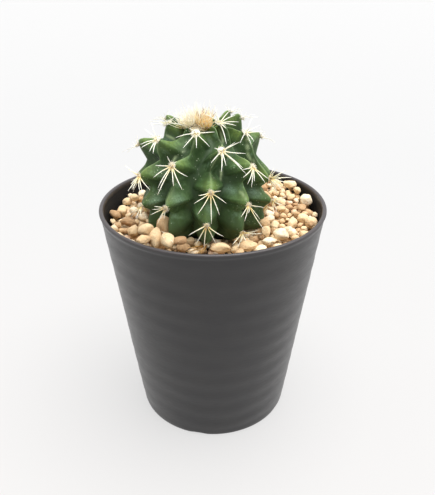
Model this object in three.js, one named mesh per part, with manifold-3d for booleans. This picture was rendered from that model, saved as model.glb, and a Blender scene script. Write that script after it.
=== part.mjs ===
// A young ribbed cactus in a tapered plastic pot, dressed with gravel.
// Millimetres, +Z up. The origin is on the pot's axis, at the level that its foot stands on.
// The front is -Y. Azimuths are in degrees, 0 at the front, growing towards +X.
// Latitudes are in degrees, seen from the middle of the plant.

import * as THREE from 'three';
import { mergeVertices } from 'three/addons/utils/BufferGeometryUtils.js';
import Module from 'manifold-3d';

const wasm = await Module();
wasm.setup();

// ---------------------------------------------------------------- driving dimensions

const pot = {
  height: 94,
  footRadius: 31.9,
  topRadius: 44.7,
  wall: 1.3,
  rimRadius: 45,
  rimHeight: 2.1,
  rimInnerRadius: 43.3,
  rimRounding: 0.5,
  panelLevel: 3,
  panelThickness: 1.2,
  panelFillet: 1.5,
  footRingInnerRadius: 29.5,
  footRounding: 0.5,
  rippleFirst: 7.1,
  ripplePitch: 8.3,
  rippleCount: 10,
  rippleDepth: 0.19,
  facets: 36,
};

const drainage = {
  count: 5,
  firstAzimuth: -12,
  holeRadius: 4.5,
  holeCircle: 20,
  centreHoleRadius: 6,
  notchWidth: 10,
  notchHeight: 0.9,
  notchDepth: 12,                // of the cutter, across the foot ring
  notchSides: 44,
  holeSides: 12,
};

const gap = 0.3;                 // between pieces that touch
const soil = { top: 79.9, bottomCorner: 2 };

const gravel = {
  level: 88,                     // of the pebbles' shoulders, on the pot's axis
  slope: 0.025,                  // the bed rises towards +X and +Y
  bedDepth: 1.6,                 // of the bed's top under that level
  bedInnerRadius: 12,
  longest: 4.2,                  // half the length of the longest and the shortest pebble
  shortest: 2.8,
  breadth: 0.82,                 // of that length
  thickness: 0.66,
  sunk: 0.25,                    // of the thickness, under the level
  wallRoom: 0.9,                 // of that length, kept from the pot's wall
  tries: 6000,
  spacing: 0.87,
  turnSpread: 0.9,               // radians, about lying along the wall
  tiltSpread: 0.7,
};

const standingPebble = {         // one that stands on end against the spines
  place: [-18.2, -21.8],
  radius: 2.8,
  halfHeight: 6.6,
  sunk: 2.4,
  turn: 0.6,
};

const body = {
  centre: new THREE.Vector3(-3.2, -3.7, 103.8),
  furrowRadius: 18.6,            // at the bottom of the furrows
  furrowTop: 20.8,
  furrowBottom: 23.5,
  tipRadius: 27.5,               // over the tubercles
  tipTop: 28,
  notchShare: 0.48,              // height left between two tubercles of a rib
  shoulderShare: 0.6,            // of the way up to the next tubercle, where that notch is
  crestRounding: 0.3,
  notchRounding: 0.8,            // of the broader crest in a notch
  furrowSway: 0.06,
  fadeTopFrom: 62,
  fadeBottomFrom: -28,
  fadeBottomTo: -62,
  extraFrom: 5,
  extraTo: 30,
  stepsAcross: 3,                // columns of the mesh between a crest and a furrow
  stepsAlong: 3,                 // rings of the mesh between a tip and a notch
};

const root = { radius: 4.5, endRadius: 1.6, end: 62, overlap: 3, sides: 14 };

// Each rib: its azimuth low down, halfway up and near the crown, the latitudes of its areoles,
// and how far its upper tubercles stand out past the others.
// The lowest areole of a rib that starts deep is under the gravel.
const ribs = [
  { name: 'a', azimuths: [-55, -63, -54], areoles: [-27, -6, 16, 46], extra: 0, deep: true },
  { name: 'b', azimuths: [-29, -27, -10], areoles: [-24, 0, 31, 58], extra: 0, deep: false },
  { name: 'c', azimuths: [2, 7, 34], areoles: [-34, -11, 14, 43], extra: 0, deep: true },
  { name: 'd', azimuths: [32, 44, 55], areoles: [-23, 1, 27, 74], extra: 0, deep: false },
  { name: 'e', azimuths: [65, 60, 74], areoles: [-33, -6, 13, 53], extra: 0, deep: true },
  { name: 'f', azimuths: [107, 113, 106], areoles: [-23, 1, 36, 62], extra: 1, deep: false },
  { name: 'g', azimuths: [143, 144, 139], areoles: [-33, -8, 15, 61], extra: 1, deep: true },
  { name: 'h', azimuths: [179, 179, 178], areoles: [-23, 1, 31, 54], extra: -1, deep: false },
  { name: 'i', azimuths: [215, 219, 234], areoles: [-33, -8, 15, 50], extra: 2, deep: true },
  { name: 'j', azimuths: [254, 261, 270], areoles: [-23, 1, 32, 60], extra: 2, deep: false },
];
const azimuthLevels = [-10, 30, 60];
const levelBelow = 24;           // from the lowest areole to the one under it
const crownLatitude = 78;        // of the young areoles inside the wool
const poleLatitude = 90;

const areole = { radius: 1.4, halfHeight: 1.1, lift: 0.8 };

const spine = {
  radius: 0.32,
  sides: 3,
  start: 0.45,                                 // from the middle of the pad
  turns: [0, 27, -27, 58, -58, 92, -92],       // from straight down the rib
  lengths: [11.5, 9.2, 9.2, 8, 8, 6.5, 6.5],
  upperTurns: [165],                           // only on areoles above the equator
  upperLength: 5,
  rise: 30,                                    // above the skin
  riseSpread: 8,
  turnSpread: 5,
  lengthSpread: 0.08,
  clearOfSkin: 0.9,
  clearOfSpines: 1.1,
  clearOfGravel: 0.5,
  shortest: 0.35,                              // of its length, before it is left out
  steepest: 80,
};

const crown = {
  centre: new THREE.Vector3(-5.8, -3.9, 127.2),
  radius: 6.4,
  height: 3.8,
  spines: 18,
  longest: 7.5,
  shortest: 4.5,
  lean: 34,
  spread: 0.15,
  spineCircle: 5,
  spineStart: 0.8,
  spineRadius: 0.26,
};

// ---------------------------------------------------------------- materials

function plain(color, roughness) {
  return new THREE.MeshStandardMaterial({ color, roughness, metalness: 0 });
}

const plastic = plain('#444243', 0.6);
const earth = plain('#4a3b2e', 1);
const stone = plain('#dcb988', 0.9);
const skin = plain('#33613a', 0.45);
const wool = plain('#efe6cf', 0.85);

// ---------------------------------------------------------------- small helpers

const degrees = Math.PI / 180;

function seeded(seed) {
  let state = seed;
  return function next() {
    state = (state * 1664525 + 1013904223) % 4294967296;
    return state / 4294967296;
  };
}

function smooth(value, from, to) {
  return THREE.MathUtils.smoothstep(value, from, to);
}

function toSolid(geometry) {
  const bare = geometry.index ? geometry.clone() : geometry;
  bare.deleteAttribute('normal');
  bare.deleteAttribute('uv');
  const merged = mergeVertices(bare, 1e-4);
  return new wasm.Manifold(new wasm.Mesh({
    numProp: 3,
    vertProperties: new Float32Array(merged.attributes.position.array),
    triVerts: new Uint32Array(merged.index.array),
  }));
}

function toGeometry(solid) {
  const mesh = solid.getMesh();
  const geometry = new THREE.BufferGeometry();
  geometry.setAttribute('position', new THREE.BufferAttribute(mesh.vertProperties, 3));
  geometry.setIndex(new THREE.BufferAttribute(mesh.triVerts, 1));
  return geometry;
}

// Drops the loose scraps that a cut leaves.
function largestBody(solid) {
  const bodies = solid.decompose();
  return bodies.reduce((best, one) => (one.volume() > best.volume() ? one : best));
}

// Revolves [radius, height] points about Z.
function turned(points, facets) {
  const profile = points.map(([radius, height]) => new THREE.Vector2(radius, height));
  return new THREE.LatheGeometry(profile, facets).rotateX(Math.PI / 2);
}

// A direction from an azimuth and a latitude.
function direction(azimuth, latitude) {
  const level = Math.cos(latitude * degrees);
  return new THREE.Vector3(
    level * Math.sin(azimuth * degrees),
    -level * Math.cos(azimuth * degrees),
    Math.sin(latitude * degrees),
  );
}

// ---------------------------------------------------------------- pot

function potRadius(height) {
  return pot.footRadius + (pot.topRadius - pot.footRadius) * height / pot.height;
}

function potInside(height) {
  return potRadius(height) - pot.wall;
}

function potProfile() {
  const rimBottom = pot.height - pot.rimHeight;
  const points = [
    [0, pot.panelLevel],
    [pot.footRingInnerRadius, pot.panelLevel],
    [pot.footRingInnerRadius, 0],
    [pot.footRadius - pot.footRounding, 0],
    [pot.footRadius, pot.footRounding],
  ];
  for (let step = -1; step < 2 * pot.rippleCount; step += 1) {
    const height = pot.rippleFirst + step * pot.ripplePitch / 2;
    const side = step % 2 === 0 ? 1 : -1;
    points.push([potRadius(height) + side * pot.rippleDepth, height]);
  }
  points.push(
    [potRadius(rimBottom), rimBottom],
    [pot.rimRadius, rimBottom + pot.rimRounding],
    [pot.rimRadius, pot.height - pot.rimRounding],
    [pot.rimRadius - pot.rimRounding, pot.height],
    [pot.rimInnerRadius + pot.rimRounding, pot.height],
    [pot.rimInnerRadius, pot.height - pot.rimRounding],
    [potInside(rimBottom), rimBottom],
  );
  const panelTop = pot.panelLevel + pot.panelThickness;
  points.push(
    [potInside(panelTop + pot.panelFillet), panelTop + pot.panelFillet],
    [potInside(panelTop) - pot.panelFillet, panelTop],
    [0, panelTop],
  );
  return points;
}

// A post through the floor panel, for a drain hole.
function drainHole(radius, x, y) {
  const length = 4 * pot.panelThickness;
  return toSolid(new THREE.CylinderGeometry(radius, radius, length, drainage.holeSides)
    .rotateX(Math.PI / 2)
    .translate(x, y, pot.panelLevel));
}

// A shallow arch through the foot ring, cut by a lying drum.
function footNotch(azimuth) {
  const halfWidth = drainage.notchWidth / 2;
  const height = drainage.notchHeight;
  const radius = (halfWidth * halfWidth + height * height) / (2 * height);
  return toSolid(new THREE.CylinderGeometry(
    radius, radius, drainage.notchDepth, drainage.notchSides)
    .translate(0, -pot.footRadius, height - radius)
    .rotateZ(azimuth * degrees));
}

function buildPot() {
  let solid = toSolid(turned(potProfile(), pot.facets));
  solid = solid.subtract(drainHole(drainage.centreHoleRadius, 0, 0));
  for (let index = 0; index < drainage.count; index += 1) {
    const azimuth = drainage.firstAzimuth + index * 360 / drainage.count;
    const place = direction(azimuth, 0).multiplyScalar(drainage.holeCircle);
    solid = solid.subtract(drainHole(drainage.holeRadius, place.x, place.y));
    solid = solid.subtract(footNotch(azimuth));
  }
  return solid;
}

// ---------------------------------------------------------------- plant body

function ellipseRadius(latitude, level, upright) {
  const across = Math.cos(latitude * degrees) / level;
  const along = Math.sin(latitude * degrees) / upright;
  return 1 / Math.sqrt(across * across + along * along);
}

// A rib's azimuth at a latitude.
function ribAzimuth(rib, latitude) {
  const [low, middle, high] = rib.azimuths;
  const [lowLevel, middleLevel, highLevel] = azimuthLevels;
  if (latitude < middleLevel) {
    return low + (middle - low) * smooth(latitude, lowLevel, middleLevel);
  }
  return middle + (high - middle) * smooth(latitude, middleLevel, highLevel);
}

// All the tubercles of a rib, with those below the gravel and inside the wool.
function tubercleLatitudes(rib) {
  const below = rib.areoles[0] - levelBelow;
  const crownOnes = rib.deep ? [crownLatitude, crownLatitude + levelBelow] : [poleLatitude];
  return [below - levelBelow, below, ...rib.areoles, ...crownOnes];
}

// 1 on a tubercle's tip and 0 in the notch between two.
function tubercleShape(rib, latitude) {
  const tips = tubercleLatitudes(rib);
  for (let index = 0; index < tips.length - 1; index += 1) {
    const span = tips[index + 1] - tips[index];
    const share = (latitude - tips[index]) / span;
    if (share >= 0 && share <= 1) {
      const shoulder = body.shoulderShare;
      const away = share < shoulder ? share / shoulder : (1 - share) / (1 - shoulder);
      return (1 + Math.cos(away * Math.PI)) / 2;
    }
  }
  return 0;
}

// The height of a rib over the furrows, before notches.
function ribHeight(rib, latitude) {
  const tips = ellipseRadius(latitude, body.tipRadius, body.tipTop);
  const furrows = ellipseRadius(latitude, body.furrowRadius, body.furrowTop);
  const top = 1 - smooth(latitude, body.fadeTopFrom, poleLatitude);
  const bottom = smooth(latitude, body.fadeBottomTo, body.fadeBottomFrom);
  const extra = rib.extra * smooth(latitude, body.extraFrom, body.extraTo);
  return (tips - furrows + extra) * top * bottom;
}

// A rounded gable: 1 on the crest and 0 in the furrow, sharpest on a tubercle's tip.
function crossSection(share, tubercle) {
  const rounding = THREE.MathUtils.lerp(body.notchRounding, body.crestRounding, tubercle);
  const edge = Math.hypot(1, rounding);
  return (edge - Math.hypot(share, rounding)) / (edge - rounding);
}

function nextRib(index) {
  return ribs[(index + 1) % ribs.length];
}

function spanToNext(index, latitude) {
  const from = ribAzimuth(ribs[index], latitude);
  return THREE.MathUtils.euclideanModulo(ribAzimuth(nextRib(index), latitude) - from, 360);
}

// Where the furrow lies between two crests, from 0 at the first to 1 at the second.
function furrowShare(index, latitude) {
  const difference = tubercleShape(ribs[index], latitude) - tubercleShape(nextRib(index), latitude);
  return 0.5 + body.furrowSway * difference;
}

// The distance of the skin from the middle of the plant.
function skinRadius(azimuth, latitude) {
  const furrowEnd = latitude < 0 ? body.furrowBottom : body.furrowTop;
  const furrow = ellipseRadius(latitude, body.furrowRadius, furrowEnd);
  for (let index = 0; index < ribs.length; index += 1) {
    const span = spanToNext(index, latitude);
    const offset = azimuth - ribAzimuth(ribs[index], latitude);
    const share = THREE.MathUtils.euclideanModulo(offset + 1e-6, 360) / span;
    if (share <= 1) {
      const middle = furrowShare(index, latitude);
      const onFirst = share < middle;
      const rib = onFirst ? ribs[index] : nextRib(index);
      const across = onFirst ? share / middle : (1 - share) / (1 - middle);
      const tubercle = tubercleShape(rib, latitude);
      const along = body.notchShare + (1 - body.notchShare) * tubercle;
      const height = ribHeight(rib, latitude) * along;
      return furrow + height * crossSection(across, tubercle);
    }
  }
  return furrow;
}

function skinPoint(azimuth, latitude, offset = 0) {
  return direction(azimuth, latitude)
    .multiplyScalar(skinRadius(azimuth, latitude) + offset)
    .add(body.centre);
}

// The latitudes of a rib's tips and notches in turn, so that ring number level runs level
// round the plant: on every second rib it meets a tip, and on the others a notch.
function ringLatitudes(rib) {
  const tips = tubercleLatitudes(rib);
  const levels = [];
  for (let index = 1; index < tips.length - 1; index += 1) {
    levels.push(tips[index]);
    levels.push(tips[index] + body.shoulderShare * (tips[index + 1] - tips[index]));
  }
  const first = rib.deep ? 2 : 1;
  return levels.slice(first, first + 9);
}

function ringLatitude(rib, level) {
  const levels = ringLatitudes(rib);
  const last = levels.length - 1;
  if (level <= 0) {
    return THREE.MathUtils.lerp(levels[0], -poleLatitude, -level / 3);
  }
  if (level >= last) {
    return THREE.MathUtils.lerp(levels[last], poleLatitude, level - last);
  }
  const index = Math.floor(level);
  return THREE.MathUtils.lerp(levels[index], levels[index + 1], level - index);
}

function ringNumbers() {
  const numbers = [-2, -1];
  for (let step = 0; step <= 8 * body.stepsAlong; step += 1) {
    numbers.push(step / body.stepsAlong);
  }
  numbers.push(8.5);
  return numbers;
}

// One point of the mesh: share runs from a crest, 0, over the furrow, 1, to the next crest, 2.
function gridPoint(index, share, level, offset) {
  const here = ringLatitude(ribs[index], level);
  const there = ringLatitude(nextRib(index), level);
  const latitude = THREE.MathUtils.lerp(here, there, share / 2);
  const middle = furrowShare(index, latitude);
  const along = share <= 1 ? share * middle : middle + (share - 1) * (1 - middle);
  const azimuth = ribAzimuth(ribs[index], latitude) + along * spanToNext(index, latitude);
  return skinPoint(azimuth, latitude, offset);
}

function skinGeometry(offset) {
  const numbers = ringNumbers();
  const columns = ribs.length * 2 * body.stepsAcross;
  const points = [skinPoint(0, -poleLatitude, offset)];
  for (const level of numbers) {
    for (let column = 0; column < columns; column += 1) {
      const index = Math.floor(column / (2 * body.stepsAcross));
      const share = (column % (2 * body.stepsAcross)) / body.stepsAcross;
      points.push(gridPoint(index, share, level, offset));
    }
  }
  points.push(skinPoint(0, poleLatitude, offset));

  const faces = [];
  const last = points.length - 1;
  for (let column = 0; column < columns; column += 1) {
    const next = (column + 1) % columns;
    faces.push(0, 1 + next, 1 + column);
    for (let ring = 0; ring < numbers.length - 1; ring += 1) {
      const low = 1 + ring * columns;
      const high = low + columns;
      faces.push(low + column, low + next, high + next);
      faces.push(low + column, high + next, high + column);
    }
    faces.push(last, last - columns + column, last - columns + next);
  }
  const geometry = new THREE.BufferGeometry().setFromPoints(points);
  geometry.setIndex(faces);
  return geometry;
}

const skinGap = 0.42;            // along the radius: it leaves the usual gap on a rib's flanks
const skinWithGap = toSolid(skinGeometry(skinGap));

function rootGeometry(extra) {
  const top = body.centre.z - body.furrowBottom + root.overlap;
  const length = top - root.end + extra;
  return new THREE.CylinderGeometry(root.radius + extra, root.endRadius + extra, length, root.sides)
    .rotateX(Math.PI / 2)
    .translate(body.centre.x, body.centre.y, top - length / 2);
}

function buildStem() {
  return toSolid(skinGeometry(0)).add(toSolid(rootGeometry(0)));
}

// ---------------------------------------------------------------- soil and gravel

function buildSoil() {
  const bottom = pot.panelLevel + pot.panelThickness + gap;
  const cornerTop = bottom + soil.bottomCorner;
  const solid = toSolid(turned([
    [0, bottom],
    [potInside(bottom) - gap - soil.bottomCorner, bottom],
    [potInside(cornerTop) - gap, cornerTop],
    [potInside(soil.top) - gap, soil.top],
    [0, soil.top],
  ], pot.facets));
  return solid.subtract(toSolid(rootGeometry(2 * gap)));
}

function gravelRise(x, y) {
  return gravel.slope * (x + y);
}

function gravelBed() {
  const bottom = soil.top + gap;
  const top = gravel.level - gravel.bedDepth;
  const geometry = turned([
    [gravel.bedInnerRadius, bottom],
    [potInside(bottom) - gap, bottom],
    [potInside(top) - 2 * gap, top],
    [gravel.bedInnerRadius, top],
    [gravel.bedInnerRadius, bottom],
  ], pot.facets);
  const place = geometry.attributes.position;
  for (let index = 0; index < place.count; index += 1) {
    if (place.getZ(index) > bottom + 1) {
      place.setZ(index, top + gravelRise(place.getX(index), place.getY(index)));
    }
  }
  return toSolid(geometry);
}

function pebble(x, y, z, half, turn, tilt) {
  return toSolid(new THREE.IcosahedronGeometry(1, 0)
    .scale(half.x, half.y, half.z)
    .rotateX(tilt)
    .rotateZ(turn)
    .translate(x, y, z));
}

// Pebbles are dropped at random and kept where they leave room for their neighbours.
function pebblePlaces() {
  const random = seeded(7);
  const kept = [];
  for (let attempt = 0; attempt < gravel.tries; attempt += 1) {
    const longest = THREE.MathUtils.lerp(gravel.shortest, gravel.longest, random() ** 1.6);
    const radius = Math.sqrt(random()) * potInside(gravel.level);
    const azimuth = random() * 360;
    const turn = azimuth * degrees + (random() - 0.5) * gravel.turnSpread;
    const tilt = (random() - 0.5) * gravel.tiltSpread;
    const place = direction(azimuth, 0).multiplyScalar(radius);
    const wallRoom = potInside(gravel.level - 2) * Math.cos(Math.PI / pot.facets) - gap - radius;
    const stemRoom = place.distanceTo(new THREE.Vector3(body.centre.x, body.centre.y, 0));
    const clear = kept.every((other) => (
      place.distanceTo(other.place) > gravel.spacing * (longest + other.longest)));
    if (wallRoom > gravel.wallRoom * longest && stemRoom > body.furrowRadius && clear) {
      kept.push({ place, longest, turn, tilt });
    }
  }
  return kept;
}

function buildGravel() {
  const stones = pebblePlaces().map(({ place, longest, turn, tilt }) => {
    const half = new THREE.Vector3(1, gravel.breadth, gravel.thickness).multiplyScalar(longest);
    const height = gravel.level + gravelRise(place.x, place.y) - half.z * gravel.sunk;
    return pebble(place.x, place.y, height, half, turn, tilt);
  });
  const [x, y] = standingPebble.place;
  const foot = gravel.level + gravelRise(x, y) - standingPebble.sunk;
  const half = new THREE.Vector3(
    standingPebble.radius, standingPebble.radius * gravel.breadth, standingPebble.halfHeight);
  stones.push(pebble(x, y, foot + standingPebble.halfHeight, half, standingPebble.turn, 0));
  const together = stones.reduce((sum, one) => sum.add(one), gravelBed());
  return largestBody(together.subtract(skinWithGap));
}

// ---------------------------------------------------------------- areoles and spines

function needle(from, to, radius) {
  const length = from.distanceTo(to);
  const toward = to.clone().sub(from).normalize();
  const turn = new THREE.Quaternion().setFromUnitVectors(new THREE.Vector3(0, 1, 0), toward);
  return toSolid(new THREE.ConeGeometry(radius, length, spine.sides)
    .translate(0, length / 2, 0)
    .applyQuaternion(turn)
    .translate(from.x, from.y, from.z));
}

function pointsAlong(from, to) {
  const points = [];
  for (let share = 0.25; share <= 1.001; share += 0.15) {
    points.push(from.clone().lerp(to, share));
  }
  return points;
}

function clearOfSkin(point) {
  const away = point.clone().sub(body.centre);
  const distance = away.length();
  const latitude = Math.asin(away.z / distance) / degrees;
  const azimuth = Math.atan2(away.x, -away.y) / degrees;
  return distance - skinRadius(azimuth, latitude) > spine.clearOfSkin;
}

function clearOfGravel(point) {
  const top = gravel.level + gravelRise(point.x, point.y) + gravel.shortest;
  const [x, y] = standingPebble.place;
  const beside = Math.hypot(point.x - x, point.y - y) > standingPebble.radius + spine.clearOfGravel;
  const above = point.z > top + 2 * standingPebble.halfHeight;
  return point.z > top + spine.clearOfGravel && (beside || above);
}

const placedSpines = [];

function clearOfSpines(points) {
  return placedSpines.every((other) => (
    points.every((point) => point.distanceTo(other) > spine.clearOfSpines)));
}

// The two ends of a spine on a pad: it is lifted, then shortened, until it is clear.
function spineEnds(pad, turn, rise, length) {
  for (let shorter = 1; shorter > spine.shortest; shorter -= 0.15) {
    for (let lift = 0; rise + lift < spine.steepest; lift += 6) {
      const flat = pad.down.clone().applyAxisAngle(pad.outward, turn * degrees);
      const toward = flat.multiplyScalar(Math.cos((rise + lift) * degrees))
        .addScaledVector(pad.outward, Math.sin((rise + lift) * degrees));
      const start = pad.root.clone().addScaledVector(toward, spine.start);
      const end = pad.root.clone().addScaledVector(toward, length * shorter);
      const points = pointsAlong(start, end);
      const clear = points.every((point) => clearOfSkin(point) && clearOfGravel(point));
      if (clear && clearOfSpines(points.slice(1))) {
        placedSpines.push(...points.slice(1));
        return [start, end];
      }
    }
  }
  return null;
}

function padFrame(rib, latitude) {
  const azimuth = ribAzimuth(rib, latitude);
  const outward = direction(azimuth, latitude);
  const down = direction(azimuth, latitude - poleLatitude);
  const root = skinPoint(azimuth, latitude, areole.lift);
  return { outward, down, root };
}

function padSolid(pad) {
  const turn = new THREE.Quaternion().setFromUnitVectors(new THREE.Vector3(0, 0, 1), pad.outward);
  const solid = toSolid(new THREE.SphereGeometry(1, 6, 3)
    .rotateX(Math.PI / 2)
    .scale(areole.radius, areole.radius, areole.halfHeight)
    .applyQuaternion(turn)
    .translate(pad.root.x, pad.root.y, pad.root.z));
  return largestBody(solid.subtract(skinWithGap));
}

function buildSpineCluster(rib, latitude, random) {
  const pad = padFrame(rib, latitude);
  const turns = latitude > 0 ? [...spine.turns, ...spine.upperTurns] : spine.turns;
  let solid = padSolid(pad);
  turns.forEach((turn, index) => {
    const full = spine.lengths[index] ?? spine.upperLength;
    const length = full * (1 + spine.lengthSpread * (2 * random() - 1));
    const rise = spine.rise + spine.riseSpread * (2 * random() - 1);
    const swung = turn + spine.turnSpread * (2 * random() - 1);
    const ends = spineEnds(pad, swung, rise, length);
    if (ends) {
      solid = solid.add(needle(...ends, spine.radius));
    }
  });
  return solid;
}

// ---------------------------------------------------------------- crown

function buildCrown() {
  const random = seeded(31);
  const { x, y, z } = crown.centre;
  let solid = largestBody(toSolid(new THREE.SphereGeometry(1, 12, 5)
    .rotateX(Math.PI / 2)
    .scale(crown.radius, crown.radius, crown.height)
    .translate(x, y, z))
    .subtract(skinWithGap));
  const goldenAngle = 137.5;
  for (let index = 0; index < crown.spines; index += 1) {
    const share = Math.sqrt((index + 0.5) / crown.spines);
    const azimuth = index * goldenAngle;
    const from = direction(azimuth, 0).multiplyScalar(crown.spineCircle * share).add(crown.centre);
    from.z += crown.spineStart;
    const full = THREE.MathUtils.lerp(crown.longest, crown.shortest, share);
    const length = full * (1 + crown.spread * (2 * random() - 1));
    const toward = direction(azimuth, poleLatitude - crown.lean * share);
    solid = solid.add(needle(from, from.clone().addScaledVector(toward, length), crown.spineRadius));
  }
  return solid;
}

// ---------------------------------------------------------------- assembly

const group = new THREE.Group();

function addPiece(name, solid, material) {
  const mesh = new THREE.Mesh(toGeometry(solid), material);
  mesh.name = name;
  group.add(mesh);
}

addPiece('pot', buildPot(), plastic);
addPiece('soil', buildSoil(), earth);
addPiece('gravel', buildGravel(), stone);
addPiece('stem', buildStem(), skin);
addPiece('crown_wool', buildCrown(), wool);

const random = seeded(19);
for (const rib of ribs) {
  rib.areoles.forEach((latitude, index) => {
    const buried = rib.deep && index === 0;
    if (!buried) {
      addPiece(`spine_cluster_${rib.name}${index + 1}`, buildSpineCluster(rib, latitude, random), wool);
    }
  });
}

export default group;
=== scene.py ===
import math
import time

import bmesh
import bpy
import numpy as np
from mathutils import Matrix, Vector


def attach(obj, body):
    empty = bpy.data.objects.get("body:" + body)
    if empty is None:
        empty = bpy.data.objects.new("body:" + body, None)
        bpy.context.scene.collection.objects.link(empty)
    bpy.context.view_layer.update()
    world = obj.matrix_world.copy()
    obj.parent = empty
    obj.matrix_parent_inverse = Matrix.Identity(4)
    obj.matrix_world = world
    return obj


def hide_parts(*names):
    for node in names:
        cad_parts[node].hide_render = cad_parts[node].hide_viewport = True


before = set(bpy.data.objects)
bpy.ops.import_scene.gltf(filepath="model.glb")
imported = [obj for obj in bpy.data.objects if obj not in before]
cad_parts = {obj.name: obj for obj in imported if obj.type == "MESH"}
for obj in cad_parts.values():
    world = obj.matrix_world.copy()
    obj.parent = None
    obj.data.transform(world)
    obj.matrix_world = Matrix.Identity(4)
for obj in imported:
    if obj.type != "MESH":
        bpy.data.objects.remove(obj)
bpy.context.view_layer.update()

# A potted round cactus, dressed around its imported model.
# Sizes below are in millimetres and degrees. Azimuth 0 is the front, -Y, and grows towards +X.
# Latitudes are seen from the middle of the plant.

mm = 0.001
startedAt = time.time()


def report(text):
    print(f"[{time.time() - startedAt:5.1f} s] {text}")


# The camera was fitted to the pot's rim, its foot and its ripples.
photoCamera = {
    "place": (0, -219.54, 189.35),
    "below": 27.86,              # looks this far under the horizon
    "right": 0.48,               # and this far to the right
    "lens": 43.46,
    "sensor": 36,
    "imageWide": 435,
    "imageHigh": 495,
}

studio = {
    "frontGlow": 0.5,            # light of the room on the camera's side
    "sideGlow": 1.06,            # and on the sides and behind the plant
    "glowFrom": -0.75,           # where along Y the one turns into the other
    "glowTo": 0.15,
    "floorNear": "#706d6b",
    "floorFar": "#666666",
    "floorGlow": 0.6,            # the floor is a lit table
    "floorNearAt": -260,
    "floorFarAt": 320,
    "floorSize": 12000,
    "skyFrom": (0.2, -0.08, 1),  # where the broad soft light above comes from
    "skyWidth": 60,
    "skyPower": 4.3,
}


def cameraAxes():
    # forward, right and up of the photograph's camera
    down, turn = math.radians(photoCamera["below"]), math.radians(photoCamera["right"])
    forward = np.array([math.cos(down) * math.sin(turn), math.cos(down) * math.cos(turn), -math.sin(down)])
    right = np.cross(forward, (0, 0, 1))
    right /= np.linalg.norm(right)
    return forward, right, np.cross(right, forward)


def pixelRay(pixel):
    # where the ray behind a pixel of the photograph starts, and its direction
    forward, right, up = cameraAxes()
    focal = photoCamera["lens"] / photoCamera["sensor"] * photoCamera["imageHigh"]
    across = (pixel[0] - photoCamera["imageWide"] / 2) / focal
    along = (photoCamera["imageHigh"] / 2 - pixel[1]) / focal
    toward = forward + across * right + along * up
    return np.array(photoCamera["place"], float), toward / np.linalg.norm(toward)


def pixelOnLevel(pixel, level):
    # the point behind a pixel at that height
    start, toward = pixelRay(pixel)
    return start + toward * (level - start[2]) / toward[2]


def addCamera():
    data = bpy.data.cameras.new("photoCamera")
    data.lens = photoCamera["lens"]
    data.sensor_width = photoCamera["sensor"]
    data.clip_start, data.clip_end = 0.01, 100
    camera = bpy.data.objects.new("photoCamera", data)
    bpy.context.scene.collection.objects.link(camera)
    forward, right, up = cameraAxes()
    turn = Matrix((right, up, -forward)).transposed().to_4x4()
    camera.matrix_world = Matrix.Translation(Vector(photoCamera["place"]) * mm) @ turn
    bpy.context.scene.camera = camera


def hexColour(code):
    # a screen colour as the linear numbers that the shaders take
    parts = [int(code[i:i + 2], 16) / 255 for i in (1, 3, 5)]
    return [c / 12.92 if c <= 0.04045 else ((c + 0.055) / 1.055) ** 2.4 for c in parts] + [1]


def addWorld():
    # a bright room that is dimmer behind the camera
    world = bpy.data.worlds.new("studio")
    world.use_nodes = True
    nodes, links = world.node_tree.nodes, world.node_tree.links
    split = nodes.new("ShaderNodeSeparateXYZ")
    glow = nodes.new("ShaderNodeMapRange")
    glow.interpolation_type = "SMOOTHSTEP"
    for socket, value in (("From Min", "glowFrom"), ("From Max", "glowTo"),
                          ("To Min", "frontGlow"), ("To Max", "sideGlow")):
        glow.inputs[socket].default_value = studio[value]
    links.new(nodes.new("ShaderNodeTexCoord").outputs["Generated"], split.inputs["Vector"])
    links.new(split.outputs["Y"], glow.inputs["Value"])
    background = nodes["Background"]
    background.inputs["Color"].default_value = (1, 1, 1, 1)
    links.new(glow.outputs["Result"], background.inputs["Strength"])
    bpy.context.scene.world = world


def addLights():
    data = bpy.data.lights.new("broadSoftLight", "SUN")
    data.angle = math.radians(studio["skyWidth"])
    data.energy = studio["skyPower"]
    lamp = bpy.data.objects.new("broadSoftLight", data)
    lamp.rotation_euler = (-Vector(studio["skyFrom"])).to_track_quat("-Z", "Y").to_euler()
    bpy.context.scene.collection.objects.link(lamp)
    bpy.context.scene.view_settings.view_transform = "Standard"


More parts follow.
